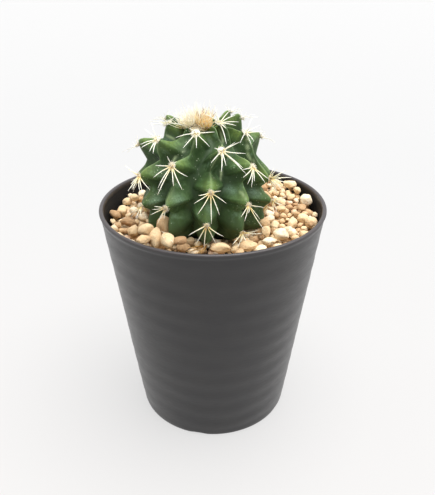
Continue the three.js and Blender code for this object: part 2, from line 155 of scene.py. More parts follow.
class Finish:
    # one material: its shader and short ways to add nodes

    def __init__(self, name, roughness, **sockets):
        self.material = bpy.data.materials.new(name)
        self.material.use_nodes = True
        self.nodes = self.material.node_tree.nodes
        self.links = self.material.node_tree.links
        self.shader = self.nodes["Principled BSDF"]
        self.shader.inputs["Roughness"].default_value = roughness
        for socket, value in sockets.items():
            self.shader.inputs[socket].default_value = value
        self.place = self.nodes.new("ShaderNodeTexCoord").outputs["Object"]

    def join(self, value, socket):
        if isinstance(value, bpy.types.NodeSocket):
            self.links.new(value, socket)
        else:
            socket.default_value = value

    def stretched(self, scale):
        node = self.nodes.new("ShaderNodeMapping")
        self.links.new(self.place, node.inputs["Vector"])
        node.inputs["Scale"].default_value = scale
        return node.outputs["Vector"]

    def noise(self, size, detail=3, rough=0.5, place=None):
        # size is the size of its lumps
        node = self.nodes.new("ShaderNodeTexNoise")
        self.links.new(place or self.place, node.inputs["Vector"])
        node.inputs["Scale"].default_value = 1 / (size * mm)
        node.inputs["Detail"].default_value = detail
        node.inputs["Roughness"].default_value = rough
        return node.outputs["Fac"]

    def cells(self, size):
        node = self.nodes.new("ShaderNodeTexVoronoi")
        self.links.new(self.place, node.inputs["Vector"])
        node.inputs["Scale"].default_value = 1 / (size * mm)
        return node.outputs["Distance"]

    def axis(self, name):
        # X, Y or Z of the place on the surface
        node = self.nodes.new("ShaderNodeSeparateXYZ")
        self.links.new(self.place, node.inputs["Vector"])
        return node.outputs[name]

    def painted(self, name):
        # a number that the mesh holds at its points
        node = self.nodes.new("ShaderNodeAttribute")
        node.attribute_name = name
        return node.outputs["Fac"]

    def ramp(self, factor, stops):
        node = self.nodes.new("ShaderNodeValToRGB")
        self.links.new(factor, node.inputs["Fac"])
        elements = node.color_ramp.elements
        while len(elements) < len(stops):
            elements.new(0.5)
        for element, (position, code) in zip(elements, sorted(stops.items())):
            element.position = position
            element.color = hexColour(code)
        return node.outputs["Color"]

    def range(self, value, low, high, outLow=0, outHigh=1):
        node = self.nodes.new("ShaderNodeMapRange")
        self.links.new(value, node.inputs["Value"])
        for socket, number in zip(("From Min", "From Max", "To Min", "To Max"), (low, high, outLow, outHigh)):
            node.inputs[socket].default_value = number
        return node.outputs["Result"]

    def maths(self, first, second, way="ADD"):
        # adds the two, or joins them in the given way
        node = self.nodes.new("ShaderNodeMath")
        node.operation = way
        self.join(first, node.inputs[0])
        self.join(second, node.inputs[1])
        return node.outputs["Value"]

    def blend(self, factor, first, second):
        node = self.nodes.new("ShaderNodeMix")
        node.data_type = "RGBA"
        self.join(factor, node.inputs["Factor"])
        self.join(hexColour(first) if isinstance(first, str) else first, node.inputs[6])
        self.join(hexColour(second) if isinstance(second, str) else second, node.inputs[7])
        return node.outputs[2]          # 6, 7 and 2 are its colour sockets

    def bump(self, height, depth, strength=1, under=None):
        # depth is how far the surface seems to rise, in millimetres
        node = self.nodes.new("ShaderNodeBump")
        node.inputs["Strength"].default_value = strength
        node.inputs["Distance"].default_value = depth * mm
        self.links.new(height, node.inputs["Height"])
        if under:
            self.links.new(under, node.inputs["Normal"])
        return node.outputs["Normal"]

    def set(self, **links):
        for socket, output in links.items():
            self.links.new(output, self.shader.inputs[socket.replace("_", " ")])
        return self.material


def softNoise(points, size, seed):
    # smooth noise from -1 to 1, with lumps of that size in millimetres
    lattice = np.random.default_rng(seed).uniform(-1, 1, (32, 32, 32))
    scaled = np.asarray(points, float) / size
    cell = np.floor(scaled).astype(int)
    part = scaled - cell
    part = part * part * (3 - 2 * part)
    total = 0
    for corner in np.ndindex(2, 2, 2):
        weight = np.prod(np.where(corner, part, 1 - part), axis=-1)
        x, y, z = np.moveaxis((cell + corner) % 32, -1, 0)
        total = total + weight * lattice[x, y, z]
    return total


def smooth(value, start, end):
    share = np.clip((value - start) / (end - start), 0, 1)
    return share * share * (3 - 2 * share)


def unit(vectors):
    return vectors / np.linalg.norm(vectors, axis=-1, keepdims=True)


def direction(azimuth, latitude):
    azimuth, latitude = np.broadcast_arrays(np.radians(azimuth), np.radians(latitude))
    level = np.cos(latitude)
    return np.stack([level * np.sin(azimuth), -level * np.cos(azimuth), np.sin(latitude)], -1)


def gridFaces(rows, columns):
    # quads of a grid of points that is closed round its columns
    faces = []
    for row in range(rows - 1):
        for column in range(columns):
            after = (column + 1) % columns
            low, high = row * columns, (row + 1) * columns
            faces.append((low + column, low + after, high + after, high + column))
    return faces


def closedTube(points):
    # a grid of points, ring over ring, as one list and faces that close both its ends
    rows, columns = points.shape[:2]
    flat = points.reshape(-1, 3)
    faces, last = gridFaces(rows, columns), (rows - 1) * columns
    for column in range(columns):
        after = (column + 1) % columns
        faces.append((rows * columns, after, column))
        faces.append((rows * columns + 1, last + column, last + after))
    return flat, faces


def makePiece(name, points, faces, materials, replaced=(), paint=None, faceKinds=None, sharp=40):
    mesh = bpy.data.meshes.new(name)
    mesh.from_pydata(np.asarray(points) * mm, [], faces, shade_flat=False)
    for material in materials:
        mesh.materials.append(material)
    if faceKinds is not None:
        mesh.polygons.foreach_set("material_index", np.asarray(faceKinds, np.int32))
    for title, values in (paint or {}).items():
        attribute = mesh.attributes.new(title, "FLOAT", "POINT")
        attribute.data.foreach_set("value", np.asarray(values, np.float32))
    if sharp:
        mesh.set_sharp_from_angle(angle=math.radians(sharp))
    mesh.validate()
    mesh.update()
    piece = bpy.data.objects.new(name, mesh)
    bpy.context.scene.collection.objects.link(piece)
    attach(piece, "root")
    if replaced:
        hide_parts(*replaced)
    return piece


def tubes(paths, radii, sides):
    # closed tapering tubes along paths (count, steps, 3); the share along each is kept for its colour
    paths, radii = np.asarray(paths, float), np.asarray(radii, float)
    count, steps, _ = paths.shape
    along = unit(np.gradient(paths, axis=1))
    helper = np.where(np.abs(along[:, :1, 2:]) < 0.9, (0.0, 0.0, 1.0), (1.0, 0.0, 0.0))
    side = unit(np.cross(along, helper))
    other = np.cross(along, side)
    turn = np.arange(sides) * 2 * np.pi / sides
    ring = side[:, :, None] * np.cos(turn)[:, None] + other[:, :, None] * np.sin(turn)[:, None]
    skin = (paths[:, :, None] + radii[:, :, None, None] * ring).reshape(count, steps * sides, 3)
    ends = np.stack([paths[:, 0], paths[:, -1] + along[:, -1] * radii[:, -1:]], 1)
    points = np.concatenate([skin, ends], 1).reshape(-1, 3)
    share = np.repeat(np.linspace(0, 1, steps), sides)
    share = np.tile(np.concatenate([share, (0, 1)]), count)
    quads = gridFaces(steps, sides)
    for corner in range(sides):
        after = (corner + 1) % sides
        last = (steps - 1) * sides
        quads.append((after, corner, steps * sides))
        quads.append((last + corner, last + after, steps * sides + 1))
    each = steps * sides + 2
    faces = [tuple(corner + tube * each for corner in face) for tube in range(count) for face in quads]
    return points, faces, share


def joined(shapes):
    # several (points, faces, share, kind) as one
    points, faces, shares, kinds, start = [], [], [], [], 0
    for shapePoints, shapeFaces, share, kind in shapes:
        points.append(shapePoints)
        faces += [tuple(corner + start for corner in face) for face in shapeFaces]
        shares.append(share)
        kinds += [kind] * len(shapeFaces)
        start += len(shapePoints)
    return np.concatenate(points), faces, np.concatenate(shares), kinds


def roundBall(level):
    # the points and faces of a ball of triangles
    ball = bmesh.new()
    bmesh.ops.create_icosphere(ball, subdivisions=level, radius=1)
    points = np.array([v.co for v in ball.verts])
    faces = [tuple(v.index for v in f.verts) for f in ball.faces]
    ball.free()
    return points, faces


# Its wall is drawn as a profile and turned round the pot's axis.
pot = {
    "height": 94,
    "footRadius": 31.9,
    "topRadius": 44.7,
    "wall": 1.3,
    "rimRadius": 45,
    "rimHeight": 2.1,
    "rimInnerRadius": 43.3,
    "rimRounding": 0.75,
    "panelLevel": 3,
    "panelThickness": 1.2,
    "footRingInnerRadius": 29.5,
    "footRounding": 0.8,
    "rippleFirst": 7.1,
    "ripplePitch": 8.3,
    "rippleDepth": 0.05,
    "rippleSway": 2.2,           # how far the ripples wander up and down
    "swayWidth": 24,
    "rippleChange": 1.2,         # how much their depth varies round the pot
    "changeWidth": 14,
    "unevenness": 0.09,
    "unevenWidth": 16,
    "edge": 0.25,                # of the small cuts on inner edges
    "roundingSteps": 6,
    "segments": 192,
    "colour": "#1d1c1e",
    "dustColour": "#272625",
    # painted shade: the darker colour painted on the inside wall
    "insideShadeColour": "#0b0a0b",
    # painted highlight: the pale colour painted on the rim's top
    "rimHighlightColour": "#524c4d",
    "rimHighlight": 0.5,              # share of that colour on the rim's top
    "rimDull": 0.6,              # share of the coat that is missing there
    "insideRoughness": 0.75,
    "roughness": 0.42,
    "specular": 0.36,
    "coat": 0.42,
    "coatRoughness": 0.34,
}

drainage = {
    "count": 5,
    "firstAzimuth": -12,
    "holeRadius": 4.5,
    "holeCircle": 20,
    "centreHoleRadius": 6,
    "notchWidth": 10,
    "notchHeight": 0.9,
    "notchDepth": 12,
}


def potRadius(height):
    return pot["footRadius"] + (pot["topRadius"] - pot["footRadius"]) * height / pot["height"]


def potInside(height):
    return potRadius(height) - pot["wall"]


def quarterTurn(centre, radius, start):
    # points of a quarter circle, which turns left from that angle
    angles = np.radians(np.linspace(start, start + 90, pot["roundingSteps"]))
    return [(centre[0] + radius * math.cos(a), centre[1] + radius * math.sin(a)) for a in angles]


def potProfile():
    # from the centre hole outwards, up the outside, over the rim and down the inside
    edge, foot, rim = pot["edge"], pot["footRounding"], pot["rimRounding"]
    level, ringInside = pot["panelLevel"], pot["footRingInnerRadius"]
    rimBottom = pot["height"] - pot["rimHeight"]
    points = [(drainage["centreHoleRadius"], level + edge), (drainage["centreHoleRadius"] + edge, level)]
    points += [(ringInside - 0.6, level), (ringInside, level - 0.6)]
    points += [(ringInside, edge), (ringInside + edge, 0)]
    points += quarterTurn((pot["footRadius"] - foot, foot), foot, -90)
    points += [(potRadius(height), height) for height in np.arange(foot + 0.6, rimBottom - 0.5, 0.7)]
    points += [(potRadius(rimBottom) - 0.05, rimBottom - 0.15)]
    points += [(potRadius(rimBottom) + 0.12, rimBottom + 0.12)]
    points += quarterTurn((pot["rimRadius"] - rim, pot["height"] - rim), rim, 0)
    points += quarterTurn((pot["rimInnerRadius"] + rim, pot["height"] - rim), rim, 90)
    points += [(potInside(rimBottom) + 0.05, rimBottom + 0.2), (potInside(rimBottom), rimBottom - 0.4)]
    points += [(potInside(height), height) for height in np.arange(rimBottom - 4, 8, -4)]
    top = level + pot["panelThickness"]
    points += [(potInside(top + 1.5), top + 1.5)]
    points += [(potInside(top) - 0.5, top + 0.4), (potInside(top) - 1.5, top)]
    points += [(drainage["centreHoleRadius"] + edge, top), (drainage["centreHoleRadius"], top - edge)]
    return np.array(points)


def revolved(profile, segments):
    turn = np.arange(segments) * 2 * np.pi / segments
    x = profile[:, :1] * np.sin(turn)
    y = -profile[:, :1] * np.cos(turn)
    z = np.broadcast_to(profile[:, 1:], x.shape)
    return np.stack([x, y, z], -1)


def drumCutter(mesh, radius, depth, place, sides=48):
    bmesh.ops.create_cone(mesh, cap_ends=True, segments=sides, radius1=radius * mm, radius2=radius * mm,
                          depth=depth * mm, matrix=place)


def cutWith(piece, fillCutter):
    # takes the closed shapes that fillCutter makes out of the piece
    cutterMesh = bpy.data.meshes.new("cutter")
    shapes = bmesh.new()
    fillCutter(shapes)
    shapes.to_mesh(cutterMesh)
    shapes.free()
    cutter = bpy.data.objects.new("cutter", cutterMesh)
    bpy.context.scene.collection.objects.link(cutter)
    cut = piece.modifiers.new("cut", "BOOLEAN")
    cut.operation, cut.solver, cut.object = "DIFFERENCE", "EXACT", cutter
    bpy.context.view_layer.update()
    shaped = bpy.data.meshes.new_from_object(piece.evaluated_get(bpy.context.evaluated_depsgraph_get()))
    piece.modifiers.clear()
    piece.data = shaped
    bpy.data.objects.remove(cutter)
    shaped.set_sharp_from_angle(angle=math.radians(40))


def drainCutters(shapes):
    halfWidth, high = drainage["notchWidth"] / 2, drainage["notchHeight"]
    drum = (halfWidth ** 2 + high ** 2) / (2 * high)
    for index in range(drainage["count"]):
        azimuth = drainage["firstAzimuth"] + index * 360 / drainage["count"]
        outward = Vector(direction(azimuth, 0))
        hole = outward * drainage["holeCircle"] + Vector((0, 0, pot["panelLevel"]))
        drumCutter(shapes, drainage["holeRadius"], 4 * pot["panelThickness"], Matrix.Translation(hole * mm))
        turn = outward.to_track_quat("Z", "Y").to_matrix().to_4x4()
        across = outward * pot["footRadius"] + Vector((0, 0, high - drum))
        drumCutter(shapes, drum, drainage["notchDepth"], Matrix.Translation(across * mm) @ turn, 220)


def plasticFinish():
    finish = Finish("charcoalPlastic", pot["roughness"], **{"Coat Roughness": pot["coatRoughness"],
                                                            "Specular IOR Level": pot["specular"]})
    cloud = finish.noise(9, 2)
    grain = finish.noise(0.28, 2)
    streak = finish.noise(4, 3, place=finish.stretched((1, 1, 6)))
    colour = finish.blend(finish.range(cloud, 0.35, 0.75, 0, 0.5), pot["colour"], pot["dustColour"])
    # the share of the wall's thickness under the outside: the inside is painted darker, as painted shade, and
    # has no sheen
    x, y, z = (finish.axis(name) for name in "XYZ")
    across = finish.maths(finish.maths(x, x, "MULTIPLY"), finish.maths(y, y, "MULTIPLY"))
    outside = finish.range(z, 0, pot["height"] * mm, pot["footRadius"] * mm, pot["topRadius"] * mm)
    under = finish.maths(outside, finish.maths(across, 0.5, "POWER"), "SUBTRACT")
    inside = finish.range(under, 0.5 * pot["wall"] * mm, 0.9 * pot["wall"] * mm)
    lip = finish.range(z, (pot["height"] - pot["rimHeight"]) * mm, (pot["height"] - 0.8) * mm, 1, 0)
    inside = finish.maths(inside, lip, "MULTIPLY")
    # painted shade over the inside wall
    colour = finish.blend(inside, colour, pot["insideShadeColour"])
    low, high = pot["roughness"] - 0.05, pot["roughness"] + 0.07
    rough = finish.range(streak, 0.3, 0.7, low, high)
    rough = finish.maths(rough, finish.range(grain, 0.3, 0.7, -0.03, 0.03))
    rough = finish.maths(rough, finish.range(inside, 0, 1, 0, pot["insideRoughness"] - pot["roughness"]))
    # the top of the rim is painted paler, a painted highlight, and is duller, alike all round
    top = finish.range(z, (pot["height"] - 1.2) * mm, (pot["height"] - 0.3) * mm)
    colour = finish.blend(finish.maths(top, pot["rimHighlight"], "MULTIPLY"), colour, pot["rimHighlightColour"])
    matte = finish.maths(inside, finish.maths(top, pot["rimDull"], "MULTIPLY"), "MAXIMUM")
    coat = finish.range(matte, 0, 1, pot["coat"], 0)
    normal = finish.bump(grain, 0.03, 0.5)
    normal = finish.bump(streak, 0.12, 0.35, normal)
    return finish.set(Base_Color=colour, Roughness=rough, Coat_Weight=coat, Normal=normal)


def buildPot():
    points = revolved(potProfile(), pot["segments"])
    outward = unit(points * (1, 1, 0))
    # the ripples come and go round the wall
    height = points[..., 2]
    sway = pot["rippleSway"] * softNoise(points * (1, 1, 0.4), pot["swayWidth"], 4)
    wave = np.cos(2 * math.pi * (height + sway - pot["rippleFirst"]) / pot["ripplePitch"])
    fade = smooth(height, 0.5, 4) * smooth(height, pot["height"] - pot["rimHeight"], pot["height"] - 6)
    change = 1 + pot["rippleChange"] * softNoise(points * (1, 1, 0.6), pot["changeWidth"], 2)
    push = pot["rippleDepth"] * wave * fade * change
    push = push + pot["unevenness"] * softNoise(points, pot["unevenWidth"], 3)
    points = points + outward * push[..., None]
    rows, columns = points.shape[:2]
    faces = gridFaces(rows + 1, columns)
    faces = [tuple(corner % (rows * columns) for corner in face) for face in faces]
    piece = makePiece("pot_shell", points.reshape(-1, 3), faces, [plasticFinish()], ["pot"])
    cutWith(piece, drainCutters)
    report("pot")


# The body of the plant, in the same terms as its solid.
plantBody = {
    "centre": (-3.2, -3.7, 103.8),
    "furrowRadius": 18.6,
    "furrowTop": 20.8,
    "furrowBottom": 23.5,
    "tipRadius": 27.5,
    "tipTop": 28,
    "notchShare": 0.48,          # of a rib's height that is left in a notch, high on the plant
    "lowNotchShare": 0.52,       # and low on it
    "footNotchShare": 0.86,      # and where it goes into the gravel
    "shoulderShare": 0.6,
    "shelfRounding": 0.17,       # a tubercle is broad over its areole
    "keelRounding": 0.07,        # and a thin keel under it
    "shelfHollow": 1.08,         # how hollow its flanks are, there
    "keelHollow": 3.3,
    "keelsFrom": (-18, 5),       # the keels are full over these latitudes
    "pointed": 0.8,              # how far a tubercle's profile runs straight to its tip
    "lowShelf": 1.55,            # how sharply it ends over its areole, low on the plant
    "highShelf": 3.4,            # and near the crown
    "furrowSway": 0.06,
    "fadeTopFrom": 62,
    "fadeBottomFrom": -28,
    "fadeBottomTo": -62,
    "extraFrom": 5,
    "extraTo": 30,
    "stepsAcross": 13,           # columns between a crest and a furrow
    "stepsAlong": 22,            # rings between a tip and a notch
    "dimples": 0.22,
    "mottleWidth": 3.3,          # of the yellow-green patch over each areole
    # painted light: the low skin is painted paler
    "paintedLowLightFrom": (104, 92),       # levels between which the skin turns paler
    "rootRadius": 4.5,
    "rootEndRadius": 1.6,
    "rootEnd": 62,
    "rootTop": 83.3,
}

# Each rib: its azimuth low down, halfway up and near the crown, the latitudes of its areoles,
# how far its upper tubercles stand out, and its topmost one beside that, how sharply that one ends
# over its areole, and what is left of the rib in the notch beside it. The lowest areole of a deep
# rib is under the gravel.
ribs = {
    "a": {"azimuths": (-55, -63, -54), "areoles": (-27, -6, 16, 46), "extra": 0, "deep": True,
          "topShelf": 4, "topNotch": 0.3},
    "b": {"azimuths": (-29, -27, -10), "areoles": (-24, 0, 31, 58), "extra": 0, "deep": False},
    "c": {"azimuths": (2, 7, 34), "areoles": (-34, -11, 14, 43), "extra": 0, "deep": True,
          "topShelf": 4.5, "topNotch": 0.25},
    "d": {"azimuths": (32, 44, 55), "areoles": (-23, 1, 27, 74), "extra": 0, "deep": False,
          "topNotch": 0.15},
    "e": {"azimuths": (65, 60, 74), "areoles": (-33, -6, 13, 53), "extra": 0, "deep": True, "extraTop": -1.8,
          "topNotch": 0.75},
    "f": {"azimuths": (107, 113, 106), "areoles": (-23, 1, 36, 62), "extra": 1, "deep": False,
          "topShelf": 1.2},
    "g": {"azimuths": (143, 144, 139), "areoles": (-33, -8, 15, 61), "extra": 1, "deep": True,
          "topShelf": 0.9},
    "h": {"azimuths": (179, 179, 178), "areoles": (-23, 1, 31, 54), "extra": -1, "deep": False,
          "topShelf": 0.9},
    "i": {"azimuths": (215, 219, 234), "areoles": (-33, -8, 15, 50), "extra": 2, "deep": True,
          "topShelf": 1.2},
    "j": {"azimuths": (254, 261, 270), "areoles": (-23, 1, 32, 60), "extra": 2, "deep": False,
          "extraTop": -3.4, "topShelf": 1.6},
}
ribNames = list(ribs)
azimuthLevels = (-10, 30, 60)
levelBelow = 24
crownLatitude = 78
notchLatitudes = (-22, -9, 5, 36)
notchPlaces = ("footNotchShare", "lowNotchShare", "lowNotchShare")

# Marks of this one plant, along pixels of the photograph. A crease is a groove in the skin, an edge is a thin
# raised crest painted pale as a painted highlight, and a bloom is a grey patch, partly wax and partly painted
# sheen.
skinMarks = {
    "creases": {
        "leftUnderTop": {"pixels": [(184, 145), (189, 156), (196, 170)], "width": 1.3, "depth": 0.9},
        "rightUnderTop": {"pixels": [(206, 147), (204, 160), (197, 170)], "width": 1.0, "depth": 0.5},
        "overMiddle": {"pixels": [(206, 166), (214, 173), (222, 181), (227, 191)],
                       "width": 1.3, "depth": 1.2},
        "leftFlank": {"pixels": [(184, 206), (186, 218), (184, 230)], "width": 1.0, "depth": 0.5},
    },
    # thin raised crests, painted pale as a painted highlight
    "highlitEdges": {
        "overRight": {"pixels": [(219, 130), (223, 141), (222, 148)], "width": 0.45},
        "underRight": {"pixels": [(222, 157), (221, 172), (222, 181)], "width": 0.4},
        "overLeft": {"pixels": [(161, 135), (167, 136), (176, 140)], "width": 0.5},
        "aboveMiddleLeft": {"pixels": [(173, 162), (176, 157), (184, 151)], "width": 0.5},
        "underMiddleLeft": {"pixels": [(173, 174), (173, 186), (167, 203)], "width": 0.4},
        "farRight": {"pixels": [(246, 137), (248, 157), (255, 162)], "width": 0.4},
        "rightOfLow": {"pixels": [(268, 182), (257, 190)], "width": 0.4},
        "overLowRight": {"pixels": [(240, 191), (247, 201)], "width": 0.4},
    },
    # grey patches, partly wax and partly painted sheen
    "waxSheenPatches": {
        "topLeft": {"pixels": [(165, 139), (172, 140)], "width": 1.6},
        "middleLeft": {"pixels": [(174, 199), (180, 200)], "width": 2.0},
        "lowLeft": {"pixels": [(152, 203), (157, 200)], "width": 1.8},
        "right": {"pixels": [(251, 190), (260, 194)], "width": 1.8},
        "middleRight": {"pixels": [(228, 188), (234, 192)], "width": 1.4},
        "lowMiddle": {"pixels": [(208, 206), (212, 214)], "width": 1.2},
    },
}

skinColours = {
    # painted shade: furrow is the darker colour painted into the furrows
    "furrow": "#34472d",
    # painted shade: keel is the darker colour painted on the keels under the areoles
    "keel": "#31452a",
    "deep": "#35482b",
    "mid": "#3f5930",
    "light": "#597647",
    # painted light: the paler colour painted over the lower skin
    "paintedLowLight": "#5a704b",
    # partly wax and partly painted sheen: the grey colour of those patches
    "waxAndSheen": "#7d9a80",
    # painted highlight: crest is the pale colour painted along the crests
    "crest": "#b4c596",
    "nearAreole": "#778c3d",
    "speck": "#c3d0b0",
}


def ellipseRadius(latitude, level, upright):
    return 1 / np.hypot(np.cos(np.radians(latitude)) / level, np.sin(np.radians(latitude)) / upright)


def ribAzimuth(rib, latitude):
    low, middle, high = rib["azimuths"]
    first = (middle - low) * smooth(latitude, azimuthLevels[0], azimuthLevels[1])
    second = (high - middle) * smooth(latitude, azimuthLevels[1], azimuthLevels[2])
    return low + first + second


def tubercleLatitudes(rib):
    below = rib["areoles"][0] - levelBelow
    crownOnes = [crownLatitude, crownLatitude + levelBelow] if rib["deep"] else [90]
    return np.array([below - levelBelow, below, *rib["areoles"], *crownOnes], float)


def tubercleShare(rib, latitude):
    # 0 on a tubercle's tip and 1 on the next one up the rib
    tips = tubercleLatitudes(rib)
    index = np.clip(np.searchsorted(tips, latitude, side="right") - 1, 0, len(tips) - 2)
    return np.clip((latitude - tips[index]) / (tips[index + 1] - tips[index]), 0, 1)


def tubercleShape(rib, latitude):
    # 1 on a tubercle's tip and 0 in the notch between two
    share = tubercleShare(rib, latitude)
    shoulder = plantBody["shoulderShare"]
    away = np.where(share < shoulder, share / shoulder, (1 - share) / (1 - shoulder))
    wave = (1 + np.cos(away * np.pi)) / 2
    straight = (np.hypot(1, 0.14) - np.hypot(away, 0.14)) / (np.hypot(1, 0.14) - 0.14)
    shape = wave + plantBody["pointed"] * (straight - wave)
    cut = np.interp(latitude, (32, 46), (plantBody["lowShelf"], rib.get("topShelf", plantBody["highShelf"])))
    return np.where(share < shoulder, shape ** cut, shape)


def keelShape(rib, latitude):
    # 1 where a rib is a thin keel, under the next areole, and 0 on the broad shelf over this one
    return np.interp(tubercleShare(rib, latitude), (0, 0.1, 0.32, 0.72, 0.93, 1), (0.3, 0, 0.15, 1, 1, 0.3))


def ribHeight(rib, latitude):
    tips = ellipseRadius(latitude, plantBody["tipRadius"], plantBody["tipTop"])
    furrows = ellipseRadius(latitude, plantBody["furrowRadius"], plantBody["furrowTop"])
    top = 1 - smooth(latitude, plantBody["fadeTopFrom"], 90)
    bottom = smooth(latitude, plantBody["fadeBottomTo"], plantBody["fadeBottomFrom"])
    extra = rib["extra"] * smooth(latitude, plantBody["extraFrom"], plantBody["extraTo"])
    extra = extra + rib.get("extraTop", 0) * smooth(latitude, 36, 52)
    return (tips - furrows + extra) * top * bottom


def crossSection(share, keel):
    rounding = plantBody["shelfRounding"] + (plantBody["keelRounding"] - plantBody["shelfRounding"]) * keel
    hollow = plantBody["shelfHollow"] + (plantBody["keelHollow"] - plantBody["shelfHollow"]) * keel
    edge = np.hypot(1, rounding)
    return np.clip((edge - np.hypot(share, rounding)) / (edge - rounding), 0, 1) ** hollow


def nextRib(index):
    return ribs[ribNames[(index + 1) % len(ribNames)]]


def spanToNext(index, latitude):
    return (ribAzimuth(nextRib(index), latitude) - ribAzimuth(ribs[ribNames[index]], latitude)) % 360


def furrowShare(index, latitude):
    here = tubercleShape(ribs[ribNames[index]], latitude)
    return 0.5 + plantBody["furrowSway"] * (here - tubercleShape(nextRib(index), latitude))


def skinRelief(azimuth, latitude):
    # the skin's distance from the middle, the share from crest to furrow, the tubercle's shape,
    # and how much of a keel it is
    azimuth, latitude = np.broadcast_arrays(np.asarray(azimuth, float), np.asarray(latitude, float))
    furrowEnd = np.where(latitude < 0, plantBody["furrowBottom"], plantBody["furrowTop"])
    radius = ellipseRadius(latitude, plantBody["furrowRadius"], furrowEnd)
    across, tubercle, under = np.ones_like(radius), np.zeros_like(radius), np.zeros_like(radius)
    for index, name in enumerate(ribNames):
        offset = azimuth - ribAzimuth(ribs[name], latitude)
        share = ((offset + 1e-6) % 360) / spanToNext(index, latitude)
        middle = furrowShare(index, latitude)
        for rib, mine, part in (
            (ribs[name], share < middle, share / middle),
            (nextRib(index), (share >= middle) & (share <= 1), (1 - share) / (1 - middle)),
        ):
            shape = tubercleShape(rib, latitude)
            notches = [plantBody[place] for place in notchPlaces]
            notches.append(rib.get("topNotch", plantBody["notchShare"]))
            notch = np.interp(latitude, notchLatitudes, notches)
            keel = keelShape(rib, latitude) * smooth(latitude, *plantBody["keelsFrom"])
            section = crossSection(part, keel)
            height = ribHeight(rib, latitude) * (notch + (1 - notch) * shape) * section
            radius = np.where(mine, radius + height, radius)
            across = np.where(mine, part, across)
            tubercle = np.where(mine, shape, tubercle)
            under = np.where(mine, keel, under)
    return radius, across, tubercle, under


def skinPoint(azimuth, latitude, offset=0):
    radius = skinRelief(azimuth, latitude)[0] + offset
    return direction(azimuth, latitude) * np.asarray(radius)[..., None] + plantBody["centre"]


def heightOverSkin(points):
    # how far points stand off the plant, seen from its middle
    away = np.asarray(points, float) - plantBody["centre"]
    distance = np.linalg.norm(away, axis=-1)
    latitude = np.degrees(np.arcsin(away[..., 2] / distance))
    azimuth = np.degrees(np.arctan2(away[..., 0], -away[..., 1]))
    return distance - skinRelief(azimuth, latitude)[0]


def ringLatitude(rib, level):
    # ring number level runs level round the plant: it meets a tip on one rib and a notch on the next
    tips = tubercleLatitudes(rib)
    levels = []
    for index in range(1, len(tips) - 1):
        levels += [tips[index], tips[index] + plantBody["shoulderShare"] * (tips[index + 1] - tips[index])]
    first = 2 if rib["deep"] else 1
    return np.interp(level, [-3, *range(9), 9], [-90, *levels[first:first + 9], 90])


def skinGrid():
    # azimuths and latitudes of the mesh's points, ring by ring
    steps, across = plantBody["stepsAlong"], plantBody["stepsAcross"]
    levels = np.concatenate([np.linspace(-2.3, -0.05, 26), np.arange(8 * steps + 1) / steps,
                             np.linspace(8.04, 8.97, 24)])
    azimuths, latitudes = [], []
    for index, name in enumerate(ribNames):
        here, there = ringLatitude(ribs[name], levels), ringLatitude(nextRib(index), levels)
        for step in range(2 * across):
            share = step / across
            latitude = here + (there - here) * share / 2
            middle = furrowShare(index, latitude)
            along = np.where(share <= 1, share * middle, middle + (share - 1) * (1 - middle))
            azimuths.append(ribAzimuth(ribs[name], latitude) + along * spanToNext(index, latitude))
            latitudes.append(latitude)
    return np.array(azimuths).T, np.array(latitudes).T


def rootRings(firstRing):
    # the taproot goes on from the skin's lowest ring
    centre = np.array(plantBody["centre"])
    turn = np.arctan2(firstRing[:, 1] - centre[1], firstRing[:, 0] - centre[0])
    rings = []
    for height in np.linspace(80.4, plantBody["rootEnd"] + 0.4, 30):
        share = (height - plantBody["rootEnd"]) / (plantBody["rootTop"] - plantBody["rootEnd"])
        radius = plantBody["rootEndRadius"] + share * (plantBody["rootRadius"] - plantBody["rootEndRadius"])
        ring = np.stack([np.cos(turn), np.sin(turn), np.zeros_like(turn)], -1) * radius * 0.95
        ring = ring + (centre[0], centre[1], height)
        outward = unit(ring - (centre[0], centre[1], height))
        rings.append(ring + outward * 0.25 * softNoise(ring, 2.4, 8)[:, None])
    return rings


def areolePlaces():
    # name, rib and latitude of every areole above the gravel
    for name, rib in ribs.items():
        for index, latitude in enumerate(rib["areoles"]):
            if not (rib["deep"] and index == 0):
                yield f"{name}{index + 1}", rib, latitude


def skinUnderPixel(pixel):
    # where the ray behind that pixel meets the plant
    start, toward = pixelRay(pixel)
    points = start + np.linspace(160, 330, 1400)[:, None] * toward
    return points[np.argmax(heightOverSkin(points) < 0)]


def markStrength(points, mark):
    # 1 along the mark's line and 0 away from it, with soft ends
    line = np.array([skinUnderPixel(pixel) for pixel in mark["pixels"]])
    knots = np.linspace(0, 1, len(line))
    share = np.linspace(0, 1, 24)
    along = np.stack([np.interp(share, knots, line[:, axis]) for axis in range(3)], -1)
    strength = np.zeros(points.shape[:-1])
    for place, part in zip(along, share):
        near = np.exp(-(np.linalg.norm(points - place, axis=-1) / mark["width"]) ** 2)
        strength = np.maximum(strength, near * smooth(part, -0.1, 0.2) * smooth(part, 1.1, 0.8))
    return strength


def marked(points, kind):
    strengths = [markStrength(points, mark) * mark.get("depth", 1) for mark in skinMarks[kind].values()]
    return np.max(strengths, axis=0)


